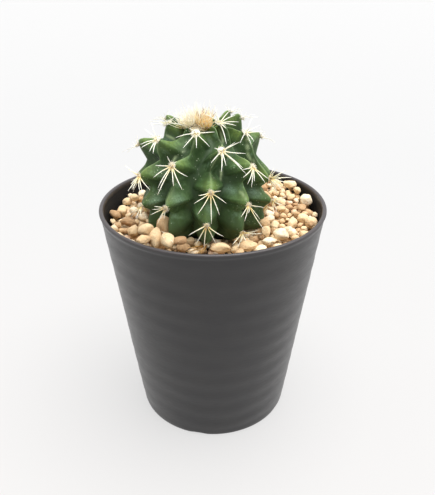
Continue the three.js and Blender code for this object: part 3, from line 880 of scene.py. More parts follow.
def skinFinish():
    finish = Finish("cactusSkin", 0.5, **{"Subsurface Weight": 0.06, "Subsurface Scale": 0.002,
                                           "Subsurface Radius": (0.4, 1, 0.3), "Specular IOR Level": 0.2})
    across, crest, under = (finish.painted(name) for name in ("across", "crest", "under"))
    near, waxSheenPatch = (finish.painted(name) for name in ("nearAreole", "waxSheenPatch"))
    broad, patch, fine = finish.noise(9, 3), finish.noise(3.2, 4, 0.6), finish.noise(0.6, 4, 0.65)
    streak = finish.noise(1.1, 3, 0.6, place=finish.stretched((1, 1, 0.3)))
    mixed = finish.maths(finish.range(broad, 0, 1, 0, 0.6), finish.range(patch, 0, 1, 0, 0.4))
    mixed = finish.maths(mixed, finish.range(streak, 0.3, 0.7, -0.07, 0.07))
    greens = {0.36: skinColours["deep"], 0.52: skinColours["mid"], 0.66: skinColours["light"]}
    body = finish.ramp(mixed, greens)
    # painted shade: the keels under the areoles, off the crest, are painted darker
    keelShade = finish.maths(under, finish.range(across, 0, 0.25), "MULTIPLY")
    body = finish.blend(finish.range(keelShade, 0, 1, 0, 0.6), body, skinColours["keel"])
    # painted shade: the skin is painted darker towards the furrows
    furrow = finish.range(finish.maths(across, finish.range(fine, 0.3, 0.7, -0.08, 0.08)), 0.42, 1.0)
    colour = finish.blend(furrow, body, skinColours["furrow"])
    # painted light: the skin is painted paler towards the bottom
    paintedLowLight = finish.range(finish.axis("Z"), *(level * mm for level in plantBody["paintedLowLightFrom"]), 0, 0.5)
    colour = finish.blend(paintedLowLight, colour, skinColours["paintedLowLight"])
    # grey patches, partly wax and partly painted sheen, towards the crests and at the listed places
    waxAndSheenShare = finish.maths(finish.range(patch, 0.55, 0.75), finish.range(across, 0.85, 0.3, 0, 0.4), "MULTIPLY")
    waxSheenPatched = finish.maths(waxSheenPatch, finish.range(fine, 0.3, 0.65, 0.2, 0.75), "MULTIPLY")
    waxAndSheenShare = finish.maths(waxAndSheenShare, waxSheenPatched, "MAXIMUM")
    colour = finish.blend(waxAndSheenShare, colour, skinColours["waxAndSheen"])
    dots = finish.range(finish.cells(1.1), 0.22, 0.08, 0, 0.8)
    dots = finish.maths(dots, finish.range(finish.noise(5, 2), 0.5, 0.62), "MULTIPLY")
    colour = finish.blend(dots, colour, skinColours["speck"])
    # painted highlight: pale along the rib crests and the listed edges
    colour = finish.blend(finish.range(crest, 0, 1, 0, 0.8), colour, skinColours["crest"])
    mottled = finish.maths(near, finish.range(fine, 0.3, 0.65, 0.1, 0.65), "MULTIPLY")
    colour = finish.blend(mottled, colour, skinColours["nearAreole"])
    rough = finish.maths(finish.range(patch, 0.3, 0.7, 0.42, 0.58), finish.range(fine, 0.3, 0.7, -0.04, 0.04))
    normal = finish.bump(fine, 0.1, 0.35)
    normal = finish.bump(patch, 0.5, 0.3, normal)
    return finish.set(Base_Color=colour, Roughness=rough, Normal=normal)


def buildStem():
    azimuths, latitudes = skinGrid()
    radius, across, tubercle, under = skinRelief(azimuths, latitudes)
    outward = direction(azimuths, latitudes)
    points = outward * radius[..., None] + plantBody["centre"]
    highlitEdges, waxSheenPatches = marked(points, "highlitEdges"), marked(points, "waxSheenPatches")
    lumps = 0.5 * softNoise(points, 5, 5) + 0.25 * softNoise(points, 1.7, 6)
    lumps = lumps + 0.5 * softNoise(points * (1, 1, 0.3), 1.9, 7) + 0.6 * softNoise(points, 9, 4)
    push = plantBody["dimples"] * lumps + 0.2 * highlitEdges - marked(points, "creases")
    points = points + outward * push[..., None]
    # painted highlight: a thin pale line along each rib's crest, and along the listed edges
    crest = 0.65 * np.exp(-(across / 0.05) ** 2) * (0.3 + 0.7 * tubercle) * smooth(latitudes, -15, 45)
    crest = np.maximum(crest, highlitEdges)
    near = np.zeros_like(across)
    for name, rib, latitude in areolePlaces():
        above = skinPoint(ribAzimuth(rib, latitude + 5), latitude + 5)
        share = float(smooth(latitude, -30, 20))
        away = np.linalg.norm(points - above, axis=-1) / plantBody["mottleWidth"]
        near = np.maximum(near, share * np.exp(-away ** 2))
    rings = rootRings(points[0])[::-1]
    columns = points.shape[1]
    allPoints, faces = closedTube(np.concatenate([np.array(rings), points]))
    bottom, top = allPoints[:columns].mean(0) - (0, 0, 0.6), allPoints[-columns:].mean(0)
    allPoints = np.concatenate([allPoints, [bottom, top]])

    def withRoot(values, rootValue):
        ends = np.full(len(rings) * columns, rootValue)
        return np.concatenate([ends, values.ravel(), [rootValue, values[-1].mean()]])

    paint = {"across": withRoot(across, 0.8), "crest": withRoot(crest, 0), "under": withRoot(under, 0),
             "nearAreole": withRoot(near, 0), "waxSheenPatch": withRoot(waxSheenPatches, 0)}
    makePiece("stem_skin", allPoints, faces, [skinFinish()], ["stem"], paint, sharp=0)
    report("stem")


# The potting mix that fills the pot under the gravel.
soil = {
    "top": 79.9,
    "bottom": 4.5,
    "room": 0.35,                # to the pot's wall
    "crumbs": 0.8,
    "rootRoom": 0.6,
    "segments": 120,
    "colours": {0.3: "#17110c", 0.5: "#3a2a1e", 0.62: "#5a4530", 0.78: "#8a7358"},
}


def soilFinish():
    finish = Finish("pottingMix", 0.95)
    crumbs, fine = finish.noise(1.6, 4, 0.7), finish.noise(0.35, 3)
    colour = finish.ramp(finish.maths(finish.range(crumbs, 0, 1, 0, 0.75), finish.range(fine, 0, 1, 0, 0.25)),
                         soil["colours"])
    normal = finish.bump(fine, 0.3, 0.6, finish.bump(crumbs, 0.9, 0.8))
    return finish.set(Base_Color=colour, Normal=normal)


def buildSoil():
    bottom, top = soil["bottom"], soil["top"]
    wide = potInside(bottom + 2) - soil["room"]
    profile = [(radius, bottom) for radius in np.linspace(0.5, wide - 2, 22)]
    profile += [(wide - 0.6, bottom + 0.6)]
    for height in np.linspace(bottom + 2, top - 0.4, 50):
        profile.append((potInside(height) - soil["room"], height))
    profile += [(radius, top) for radius in np.linspace(potInside(top) - 1, 0.5, 30)]
    points = revolved(np.array(profile), soil["segments"])
    columns = points.shape[1]
    flat, faces = closedTube(points)
    inward = unit((0, 0, (bottom + top) / 2) - flat)
    rough = 0.5 + 0.3 * softNoise(flat, 2.6, 11) + 0.2 * softNoise(flat, 1.1, 12)
    flat = flat + inward * (soil["crumbs"] * rough)[:, None]
    flat = np.concatenate([flat, [flat[:columns].mean(0), flat[-columns:].mean(0)]])
    piece = makePiece("potting_mix", flat, faces, [soilFinish()], ["soil"], sharp=0)

    def rootCutter(shapes):
        low, high = plantBody["rootEnd"] - 2, plantBody["rootTop"]
        place = Vector((plantBody["centre"][0], plantBody["centre"][1], (low + high) / 2)) * mm
        bmesh.ops.create_cone(
            shapes, cap_ends=True, segments=40, radius1=(plantBody["rootEndRadius"] + soil["rootRoom"]) * mm,
            radius2=(plantBody["rootRadius"] + soil["rootRoom"]) * mm, depth=(high - low) * mm,
            matrix=Matrix.Translation(place))

    cutWith(piece, rootCutter)
    report("soil")


# Loose pebbles: a hidden bed, and the top layer that is seen.
gravel = {
    "level": 88.7,               # of the bed's top, on the pot's axis
    "slope": 0.028,              # it rises towards +X and +Y
    "heapPlace": (28, 20),       # and is heaped up at the back right
    "heapHeight": 2.5,
    "heapWidth": 13,
    "bottom": 80.2,
    "longest": 3.1,              # half the length of the longest and the shortest pebble
    "shortest": 1.3,
    "breadth": (0.7, 0.95),      # of that length
    "thickness": (0.58, 0.84),
    "tilt": 30,
    "over": 2.0,                 # a pebble may stand this far over the level
    "hiddenUnder": 1.0,          # the hidden layer ends this far under it
    "patience": 110,             # pebbles in a row that find no room before the bed is full
    "settle": 16,                # places that each pebble tries before it lies
    "shapedFrom": 2.3,           # pebbles that are longer than twice this get finer meshes
    "cell": 0.4,
    "coarse": 0.8,
    "wallGap": 0.2,
    "plantGap": 0.1,
    "colours": {0.0: "#b38f68", 0.15: "#caa77d", 0.4: "#dfc095",
                0.7: "#ebd1a7", 0.9: "#f3e4c9", 1.0: "#e7c2a0"},
    "pitColour": "#8a6239",
    "lumps": 0.18,               # of a pebble's size
    "smallLumps": 0.07,
    "flattened": 9,              # sides of a pebble that are worn flatter
}

# Pebbles that the photograph shows: the pixel of its middle, half its length, breadth and thickness,
# how its length turns from the line to the right, how far it leans up, and its tone.
namedPebbles = {
    "underUpright": {"pixel": (158, 243), "half": (2.6, 2.0, 1.8), "turn": 20, "lean": 0, "tone": 0.3},
    "uprightLeft": {"pixel": (154.8, 239), "half": (3.6, 2.2, 2.1), "turn": 80, "lean": 58, "tone": 0.5},
    "leftOfCentre": {"pixel": (168, 244), "half": (3.4, 2.6, 2.6), "turn": 120, "lean": 30, "tone": 0.62},
    "darkFlat": {"pixel": (181, 240), "half": (2.3, 1.8, 1.4), "turn": 5, "lean": 5, "tone": -0.1},
    "frontTan": {"pixel": (183, 248), "half": (2.4, 1.9, 1.6), "turn": -10, "lean": 0, "tone": 0.15},
    "frontPale": {"pixel": (193, 252), "half": (1.9, 1.5, 1.3), "turn": 0, "lean": 0, "tone": 0.8},
    "frontLight": {"pixel": (220.5, 248.5), "half": (3.7, 2.3, 2.0), "turn": 8, "lean": 0, "tone": 0.55},
    "frontSmall": {"pixel": (236, 250), "half": (2.1, 1.7, 1.5), "turn": 0, "lean": 0, "tone": 0.6},
    "rightTan": {"pixel": (248, 246), "half": (3.0, 2.1, 1.9), "turn": 12, "lean": 0, "tone": 0.4},
    "rightBrown": {"pixel": (254, 240), "half": (2.0, 1.6, 1.4), "turn": 30, "lean": 0, "tone": 0.05},
    "rightWhite": {"pixel": (269, 241), "half": (3.0, 1.9, 1.6), "turn": 25, "lean": 0, "tone": 0.85},
    "rightUpright": {"pixel": (266, 232), "half": (2.4, 1.7, 1.6), "turn": 100, "lean": 40, "tone": 0.5},
    "rightRound": {"pixel": (265, 222), "half": (2.0, 1.8, 1.6), "turn": 0, "lean": 0, "tone": 0.3},
    "rightPale": {"pixel": (281, 234), "half": (3.1, 2.6, 2.3), "turn": 160, "lean": 0, "tone": 0.8},
    "rightNext": {"pixel": (292, 233), "half": (2.2, 1.9, 1.8), "turn": 60, "lean": 20, "tone": 0.8},
    "rightLong": {"pixel": (292, 223), "half": (2.6, 1.8, 1.7), "turn": 70, "lean": 30, "tone": 0.7},
    "rightOuter": {"pixel": (303, 218), "half": (2.7, 2.3, 1.9), "turn": 30, "lean": 0, "tone": 0.6},
    "rightRim": {"pixel": (306, 200), "half": (2.9, 2.7, 2.3), "turn": 100, "lean": 0, "tone": 0.85},
    "rightBack": {"pixel": (289, 184), "half": (2.9, 2.3, 1.9), "turn": 150, "lean": 0, "tone": 0.7},
    "leftRound": {"pixel": (133.5, 231), "half": (2.6, 2.4, 2.2), "turn": 30, "lean": 10, "tone": 0.5},
    "leftBig": {"pixel": (146, 229), "half": (2.9, 2.3, 2.1), "turn": 10, "lean": 10, "tone": 0.55},
    "leftLow": {"pixel": (143, 240), "half": (2.6, 1.9, 1.8), "turn": 30, "lean": 10, "tone": 0.35},
    "leftDark": {"pixel": (128, 222), "half": (3.4, 1.9, 1.7), "turn": -25, "lean": 0, "tone": -0.05},
    "leftBrown": {"pixel": (113, 215), "half": (3.1, 2.0, 1.8), "turn": 130, "lean": 0, "tone": 0.02},
    "leftCream": {"pixel": (122, 211), "half": (2.5, 1.9, 1.7), "turn": 10, "lean": 0, "tone": 0.5},
    "leftBack": {"pixel": (127, 201), "half": (2.2, 1.9, 1.7), "turn": 0, "lean": 0, "tone": 0.6},
    "leftBackNext": {"pixel": (134, 198), "half": (2.0, 1.8, 1.6), "turn": 0, "lean": 0, "tone": 0.55},
}

# The one that stands on end against the low spines at the left.
standingPebble = {"place": (-17.8, -21.8), "half": (3.2, 2.6, 6.3), "sunk": 2.4, "turn": 34, "tone": 0.25}


def gravelLevel(x, y):
    away = np.hypot(x - gravel["heapPlace"][0], y - gravel["heapPlace"][1]) / gravel["heapWidth"]
    return gravel["level"] + gravel["slope"] * (x + y) + gravel["heapHeight"] * np.exp(-away * away)


def turnMatrix(turn, lean, roll=0):
    # an ellipsoid's axes: its length swings by turn, leans up, and rolls about itself
    a, b, c = (math.radians(v) for v in (turn, -lean, roll))
    return np.array(Matrix.Rotation(a, 3, "Z") @ Matrix.Rotation(b, 3, "Y") @ Matrix.Rotation(c, 3, "X"))


class StoneBed:
    # Keeps the height of what lies in the pot, cell by cell. A pebble comes down until it touches.

    def __init__(self):
        self.reach = potInside(gravel["level"] + 4)
        side = int(2 * self.reach / gravel["cell"]) + 1
        self.line = np.linspace(-self.reach, self.reach, side)
        self.height = np.full((side, side), float(gravel["bottom"]))
        self.ball = roundBall(2)[0]
        self.laid = []
        # how far the places of a coarse grid stand off the plant
        self.floors = np.arange(gravel["bottom"] - 3, gravel["level"] + 14, gravel["coarse"])
        self.coarse = np.arange(-self.reach, self.reach, gravel["coarse"])
        places = np.meshgrid(self.coarse, self.coarse, self.floors, indexing="ij")
        self.plant = heightOverSkin(np.stack(places, -1))

    def landing(self, x, y, half, turn):
        # the level at which the pebble touches, and the cells and tops that it takes up
        shape = turn @ np.diag(1 / np.square(half)) @ turn.T
        wide = np.sqrt(np.linalg.inv(shape)[[0, 1], [0, 1]])
        i = np.where(np.abs(self.line - x) < wide[0])[0]
        j = np.where(np.abs(self.line - y) < wide[1])[0]
        dx, dy = self.line[i][:, None] - x, self.line[j][None, :] - y
        b = shape[0, 2] * dx + shape[1, 2] * dy
        c = shape[0, 0] * dx * dx + 2 * shape[0, 1] * dx * dy + shape[1, 1] * dy * dy - 1
        root = b * b - shape[2, 2] * c
        inside = root > 0
        deep = np.sqrt(np.where(inside, root, 0))
        low, high = (-b - deep) / shape[2, 2], (-b + deep) / shape[2, 2]
        ground = self.height[np.ix_(i, j)]
        level = np.max(np.where(inside, ground - low, -np.inf), initial=gravel["bottom"])
        return level, (i, j, inside, high)

    def fits(self, x, y, z, half, turn, over):
        # whether it keeps under the bed's top, inside the pot and clear of the plant
        points = (self.ball * half) @ turn.T + (x, y, z)
        if points[:, 2].max() > gravelLevel(x, y) + over:
            return False
        if np.any(np.hypot(points[:, 0], points[:, 1]) > potInside(points[:, 2]) - gravel["wallGap"]):
            return False
        starts = (self.coarse[0], self.coarse[0], self.floors[0])
        cells = np.round((points - starts) / gravel["coarse"]).astype(int)
        cells = np.clip(cells, 0, np.array(self.plant.shape) - 1)
        return np.all(self.plant[tuple(cells.T)] > gravel["plantGap"])

    def put(self, x, y, z, half, turn, tone):
        _, (i, j, inside, high) = self.landing(x, y, half, turn)
        cells = np.ix_(i, j)
        self.height[cells] = np.where(inside, np.maximum(self.height[cells], z + high), self.height[cells])
        self.laid.append({"place": (x, y, z), "half": half, "turn": turn, "tone": tone})

    def dropOne(self, random, over):
        # a pebble of a random size lies down in the lowest of a few random places
        long = gravel["shortest"] + (gravel["longest"] - gravel["shortest"]) * random.random() ** 1.8
        half = long * np.array([1, random.uniform(*gravel["breadth"]), random.uniform(*gravel["thickness"])])
        turn = turnMatrix(random.uniform(0, 360), *random.normal(0, gravel["tilt"] / 2, 2))
        places = random.uniform(-self.reach, self.reach, (gravel["settle"], 2))
        places = [(x, y) for x, y in places if math.hypot(x, y) < self.reach - long]
        landings = [(self.landing(x, y, half, turn)[0], x, y) for x, y in places]
        if not landings:
            return False
        z, x, y = min(landings, key=lambda place: place[0] - gravelLevel(*place[1:]))
        if not self.fits(x, y, z, half, turn, over):
            return False
        self.put(x, y, z, half, turn, random.random())
        return True

    def fill(self, random, over):
        misses = 0
        while misses < gravel["patience"]:
            misses = 0 if self.dropOne(random, over) else misses + 1

    def layByPixel(self, stone, over=9):
        # lands a pebble where it is seen at its pixel, or a little aside where something is in the way
        half, turn = np.array(stone["half"]), turnMatrix(stone["turn"], stone["lean"])
        for aside in (0, 0.5, 1, 1.6, 2.3):
            for way in np.arange(0, 2 * math.pi, math.pi / 4):
                spots = []
                for seen in np.arange(gravel["level"] - 2, gravel["level"] + 6, 0.4):
                    moved = aside * np.array((math.cos(way), math.sin(way), 0))
                    x, y, _ = pixelOnLevel(stone["pixel"], seen) + moved
                    z = self.landing(x, y, half, turn)[0]
                    spots.append((abs(z - seen), x, y, z))
                _, x, y, z = min(spots)
                if self.fits(x, y, z, half, turn, over):
                    self.put(x, y, z, half, turn, stone["tone"])
                    return True
                if aside == 0:
                    break
        return False


def layGravel():
    random = np.random.default_rng(7)
    bed = StoneBed()
    bed.fill(random, -gravel["hiddenUnder"])
    hidden = len(bed.laid)
    x, y = standingPebble["place"]
    half = np.array(standingPebble["half"])
    middle = gravelLevel(x, y) - standingPebble["sunk"] + half[2]
    bed.put(x, y, middle, half, turnMatrix(standingPebble["turn"], 0), standingPebble["tone"])
    for name, stone in namedPebbles.items():
        if not bed.layByPixel(stone):
            report(f"no room for {name}")
    bed.fill(random, gravel["over"])
    return bed.laid[:hidden], bed.laid[hidden:]


def pebbleShape(ball, stone, seed):
    # a worn stone inside its ellipsoid: lumps, and a few flattened sides
    random = np.random.default_rng(seed)
    lumps = gravel["lumps"] * softNoise(ball + seed * 3.7, 0.9, 21)
    lumps = lumps + gravel["smallLumps"] * softNoise(ball + seed * 1.3, 0.35, 22)
    points = ball * (1.02 + lumps)[:, None]
    for side in unit(random.normal(size=(gravel["flattened"], 3))):
        past = points @ side - random.uniform(0.68, 0.92)
        points = points - np.outer(np.where(past > 0, past, 0) * 0.7, side)
    return (points * stone["half"]) @ stone["turn"].T + stone["place"]


def stoneFinish():
    finish = Finish("tanPebbles", 0.85)
    tone = finish.painted("tone")
    cloud, fine, pits = finish.noise(2.2, 3), finish.noise(0.4, 4, 0.7), finish.noise(0.9, 2, 0.6)
    varied = finish.maths(tone, finish.range(cloud, 0.3, 0.7, -0.12, 0.12))
    varied = finish.maths(varied, finish.range(fine, 0.3, 0.7, -0.06, 0.06))
    colour = finish.ramp(varied, gravel["colours"])
    colour = finish.blend(finish.range(pits, 0.36, 0.28, 0, 0.45), colour, gravel["pitColour"])
    normal = finish.bump(fine, 0.17, 0.5, finish.bump(pits, 0.55, 0.5))
    return finish.set(Base_Color=colour, Normal=normal)


def buildGravel():
    hidden, seen = layGravel()
    finish = stoneFinish()
    for name, stones in (("gravel_top", seen), ("gravel_bed", hidden)):
        shapes = []
        for number, stone in enumerate(stones):
            fine = stones is seen and max(stone["half"]) > gravel["shapedFrom"]
            ball, ballFaces = roundBall(4 if fine else 3 if stones is seen else 2)
            shapes.append((pebbleShape(ball, stone, number), ballFaces, np.full(len(ball), stone["tone"]), 0))
        points, faces, tones, _ = joined(shapes)
        makePiece(name, points, faces, [finish], ["gravel"], {"tone": tones}, sharp=0)
        report(f"{name}: {len(stones)} pebbles, {len(faces)} faces")


# Each areole is a pad of felt with hairs, and spines grow out of it.
areole = {
    "youngRadius": 1.55,
    "oldRadius": 0.8,
    "height": 0.45,
    "lift": 0.3,
    "hairs": 210,
    "hairLength": (0.35, 0.95),
    "hairRadius": 0.035,
    "youngFelt": {0.0: "#ece2c2", 0.5: "#f8f3e2", 1.0: "#fffdf4"},
    "oldFelt": {0.0: "#dcbc80", 0.5: "#f5e4ba", 1.0: "#fff8e2"},
    "youngFrom": 57,             # latitudes between which an areole ages
    "oldFrom": 5,
    "underTip": 3.5,             # degrees that an areole out of view sits under its tubercle's tip
}

spine = {
    "radius": 0.215,
    "tipRadius": 0.05,
    "steps": 9,
    "sides": 7,
    "start": 0.3,
    "bow": 0.03,                 # of its length
    "rise": 32,                  # over the skin
    "riseSpread": 14,
    "length": 8.5,
    "lengthSpread": 2.5,
    "turns": (0, 27, -27, 58, -58, 92, -92),
    "lengths": (9.4, 8, 8, 7, 7, 5.6, 5.6),
    "upperTurns": (150, -160),
    "upperLength": 5,
    "thinLength": 0.75,          # of these lengths, in a thin cluster
    "hiddenLength": 7.5,         # of a spine that is added to a cluster in view
    "searched": 11,              # along a pixel's ray, to each side of the pad
    "clearBy": 0.5,              # a spine keeps this far off the skin
    "clearWeight": 40,           # and this is how much that counts
    "youngColours": {0.0: "#e8cf90", 0.14: "#f2e8c2", 0.4: "#f6f2dc", 1.0: "#f8f4e2"},
    "oldColours": {0.0: "#d09a48", 0.18: "#ecd08e", 0.42: "#f4eac6", 0.85: "#f8f2da", 1.0: "#f0deb4"},
    "driedColours": {0.0: "#8a5a1e", 0.4: "#b98434", 1.0: "#c9a35c"},
}

# Where the spines of the areoles in view end, in pixels of the photograph.
spineTips = {
    "c3": [(198.5, 195.5), (194, 203.5), (197.5, 214.5), (211.5, 224), (219.5, 215), (226.5, 203.5),
           (221, 191)],
    "c2": [(188.5, 235.5), (196.5, 231), (195.5, 245), (204, 249), (216, 244.5), (223.5, 236.5)],
    "b3": [(167, 156), (155.5, 165.5), (153.5, 177.5), (157.5, 195), (158, 188), (173.5, 186), (182, 189.5),
           (187.5, 176.5), (176.5, 161.5)],
    "b4": [(176, 137.5), (183, 148), (189.5, 128.5), (196.5, 148), (209.5, 146.5), (214.5, 132)],
    "c4": [(214.5, 148), (211, 163), (221.5, 171.5), (226, 165.5), (246, 174), (243, 168), (245.5, 153.5),
           (239.5, 142), (235, 142.5)],
    "a4": [(140.5, 144.5), (141.5, 147.5), (149.5, 151.5), (153, 153.5), (150, 136.5)],
    "j4": [(160.5, 115.5), (160, 118.5), (159, 121), (160, 124.5), (182, 125), (176, 116.5)],
    "a3": [(128, 191), (131, 184), (133, 189.5), (140, 192), (142, 190.5), (150, 190)],
    "a2": [(127, 216), (130, 217.5), (134.5, 219.5), (136.5, 219), (141.5, 217)],
    "b2": [(154, 206.5), (152, 209.5), (150.5, 215), (157.5, 224), (160.5, 219), (164, 219)],
    "b1": [(163, 237.5), (173, 243), (178.5, 242), (161, 231)],
    "d2": [(264, 207.5), (256.5, 207), (265, 231), (260, 219.5), (241, 217), (244.5, 221), (248.5, 213)],
    "d1": [(262, 233.5), (259, 230), (251, 241.5), (246, 241), (232.5, 244.5), (237.5, 247.5), (241.5, 241)],
    "d3": [(243, 169.5), (243, 177.5), (247.5, 184), (251.5, 187), (254.5, 181), (265, 182.5), (269, 179.5)],
    "d4": [(230, 110.5), (235, 115.5), (239, 122), (236, 125.5), (226, 128.5), (226.5, 144), (214, 112)],
    "e3": [(279.5, 173), (280, 175), (291.5, 177.5), (281, 179), (276, 186), (273, 172)],
    "e4": [(254, 141.5), (251, 144), (240, 143), (252, 128)],
    "e2": [(277, 212), (280, 206), (274, 215), (282, 200)],
}

# More spines of those areoles, which the plant hides or the light washes out, as turns from
# straight down the rib.
hiddenTurns = {
    "a4": (-100, -140), "j4": (-20, 30), "a3": (-110,), "d4": (-120, 160), "e3": (20, 60, 100),
    "e4": (70, 110, 20), "e2": (60, 100),
}

# The dried areole at the front, half under the gravel.
oldAreole = {
    "rib": "c",
    "latitude": -33,
    "thickness": 0.8,
    "tips": [(187, 247.5), (186, 251.5), (197, 253), (193, 246), (204, 251)],
}


def padFrame(rib, latitude):
    azimuth = float(ribAzimuth(rib, latitude))
    outward, down = direction(azimuth, latitude), direction(azimuth, latitude - 90)
    return {"outward": outward, "down": down, "root": skinPoint(azimuth, latitude, areole["lift"])}


def tipByPixel(pad, pixel):
    # the point behind that pixel which gives the spine the likeliest rise and length
    start, toward = pixelRay(pixel)
    near = (pad["root"] - start) @ toward
    tips = start + (near + np.linspace(-spine["searched"], spine["searched"], 89))[:, None] * toward
    away = tips - pad["root"]
    length = np.linalg.norm(away, axis=-1)
    rise = np.degrees(np.arcsin(away @ pad["outward"] / length))
    cost = ((rise - spine["rise"]) / spine["riseSpread"]) ** 2
    cost = cost + ((length - spine["length"]) / spine["lengthSpread"]) ** 2
    for share in (0.35, 0.6, 0.8, 1):
        over = heightOverSkin(pad["root"] + away * share)
        cost = cost + spine["clearWeight"] * np.clip(spine["clearBy"] - over, 0, None)
    return tips[np.argmin(cost)]


def tipByTurn(pad, turn, length, random):
    # a spine by rule: it is lifted until it stands clear of the skin
    swung = math.radians(turn + random.uniform(-6, 6))
    flat = pad["down"] * math.cos(swung) + np.cross(pad["outward"], pad["down"]) * math.sin(swung)
    length *= random.uniform(0.88, 1.08)
    for rise in np.arange(spine["rise"] + random.uniform(-6, 6), 85, 5):
        toward = flat * math.cos(math.radians(rise)) + pad["outward"] * math.sin(math.radians(rise))
        if np.all(heightOverSkin(pad["root"] + np.outer((0.3, 0.5, 0.75, 1), toward * length)) > 0.4):
            break
    return pad["root"] + toward * length


def spineShapes(pad, tips, random, thickness):
    share = np.linspace(0, 1, spine["steps"])
    taper = np.where(share < 0.8, 1 - 0.45 * share, 0.64 * (1 - share) / 0.2)
    paths, radii = [], []
    for tip in tips:
        toward = unit(tip - pad["root"])
        length = np.linalg.norm(tip - pad["root"])
        bow = (random.normal(size=3) * 0.5 + pad["outward"]) * spine["bow"] * length
        start = pad["root"] + toward * spine["start"]
        path = start + np.outer(share, tip - start) + np.outer(np.sin(share * np.pi), bow)
        paths.append(path)
        width = spine["radius"] * thickness * random.uniform(0.85, 1.1) * min(1, 0.6 + length / 20)
        radii.append(np.maximum(width * taper, spine["tipRadius"]))
    points, faces, along = tubes(paths, radii, spine["sides"])
    return points, faces, along, 1


# Clusters with thinner spines than the rest, and how thin.
thinClusters = {"a2": 0.75, "e2": 0.75, "e4": 0.85, "f3": 0.5, "f4": 0.5, "g4": 0.5, "h4": 0.5, "i4": 0.55,
                "j2": 0.7, "j3": 0.55}


def feltShapes(pad, age, thickness, random):
    # a low cushion of felt with short hairs standing out of it
    ball, ballFaces = roundBall(3)
    ball = ball * (1 + 0.1 * softNoise(ball * 3 + pad["root"], 1, 31))[:, None]
    side = unit(np.cross(pad["outward"], pad["down"]))
    axes = np.array([pad["down"] * 1.15, side, pad["outward"]])
    radius = (areole["youngRadius"] + (areole["oldRadius"] - areole["youngRadius"]) * age) * thickness
    sizes = np.array([radius, radius, areole["height"]])
    cushion = (ball * sizes) @ axes + pad["root"]
    share = np.clip(ball[:, 2] * 0.5 + 0.5, 0, 1)
    ways = unit(random.normal(size=(areole["hairs"], 3)) + (0, 0, 0.7))
    ways[:, 2] = np.abs(ways[:, 2])
    roots = (ways * sizes * 0.9) @ axes + pad["root"]
    ends = unit(unit(ways + random.normal(size=ways.shape) * 0.45) @ axes)
    length = random.uniform(*areole["hairLength"], (len(ways), 1))
    curl = random.normal(size=roots.shape) * 0.12
    paths = np.stack([roots, roots + ends * length * 0.5 + curl, roots + ends * length - (0, 0, 0.1)], 1)
    radii = np.tile((1, 0.8, 0.3), (len(ways), 1)) * areole["hairRadius"]
    hairPoints, hairFaces, hairShare = tubes(paths, radii, 3)
    return [(cushion, ballFaces, share * 0.6, 0), (hairPoints, hairFaces, 0.4 + 0.6 * hairShare, 0)]


def agedFinish(name, roughness, young, old, bumpDepth, **sockets):
    # runs along each hair or spine, and from the young colours to the old ones with age
    finish = Finish(name, roughness, **sockets)
    fibre = finish.noise(0.4, 2)
    along = finish.maths(finish.painted("along"), finish.range(fibre, 0.3, 0.7, -0.07, 0.07))
    colour = finish.blend(finish.painted("age"), finish.ramp(along, young), finish.ramp(along, old))
    return finish.set(Base_Color=colour, Normal=finish.bump(fibre, bumpDepth, 0.5))


hornSockets = {"Subsurface Weight": 0.6, "Subsurface Scale": 0.0008, "Subsurface Radius": (1, 0.95, 0.8)}
woolSockets = {"Subsurface Weight": 0.5, "Subsurface Scale": 0.0015, "Subsurface Radius": (1, 0.95, 0.8)}


def makeCluster(name, replaced, pad, tips, age, thickness, finishes, random):
    shapes = [spineShapes(pad, tips, random, thickness), *feltShapes(pad, age, thickness, random)]
    points, faces, along, kinds = joined(shapes)
    paint = {"along": along, "age": np.full(len(along), age)}
    makePiece(name, points, faces, finishes, replaced, paint, kinds, sharp=0)


def buildSpineClusters():
    random = np.random.default_rng(19)
    felt = agedFinish("areoleFelt", 0.95, areole["youngFelt"], areole["oldFelt"], 0.15, **woolSockets)
    horn = agedFinish("ivorySpine", 0.4, spine["youngColours"], spine["oldColours"], 0.04, **hornSockets)
    dried = agedFinish("driedSpine", 0.5, spine["driedColours"], spine["driedColours"], 0.05)
    for name, rib, latitude in areolePlaces():
        pad = padFrame(rib, latitude if name in spineTips else latitude - areole["underTip"])
        if name in spineTips:
            tips = [tipByPixel(pad, pixel) for pixel in spineTips[name]]
            for turn in hiddenTurns.get(name, ()):
                tips.append(tipByTurn(pad, turn, spine["hiddenLength"], random))
        else:
            short = spine["thinLength"] if name in thinClusters else 1
            turns = list(zip(spine["turns"], spine["lengths"]))
            if latitude > 0:
                turns += [(turn, spine["upperLength"]) for turn in spine["upperTurns"]]
            tips = [tipByTurn(pad, turn, length * short, random) for turn, length in turns]
        age = float(smooth(latitude, areole["youngFrom"], areole["oldFrom"]))
        makeCluster(f"spines_{name}", [f"spine_cluster_{name}"], pad, tips, age, thinClusters.get(name, 1),
                    [felt, horn], random)
    pad = padFrame(ribs[oldAreole["rib"]], oldAreole["latitude"])
    tips = [tipByPixel(pad, pixel) for pixel in oldAreole["tips"]]
    makeCluster("spines_old_c1", (), pad, tips, 1, oldAreole["thickness"], [felt, dried], random)
    report("spine clusters")


# The tuft on the crown: a dome of wool, and young spines.
crown = {
    "centre": (-5.8, -3.9, 125.8),
    "radius": 4.9,
    "height": 1.6,
    "woolHairs": 1500,
    "woolLength": (0.8, 2.2),
    "hairRadius": 0.045,
    "disorder": 14,              # of the spines' directions
    "ceiling": 138,
    "fleckedColours": {0.0: "#e8ae58", 0.6: "#e0a350", 0.78: "#8a5622", 1.0: "#5e3612"},
    "woolColours": {0.0: "#e8ca88", 0.45: "#fdeabe", 1.0: "#fff8e4"},
    "paleColours": {0.0: "#f4d592", 0.3: "#ffefc4", 1.0: "#fffcec"},
    "tanColours": {0.0: "#e0a24a", 0.45: "#fbd084", 0.8: "#ffe7b0", 0.93: "#ffefc4", 1.0: "#8a5a24"},
}


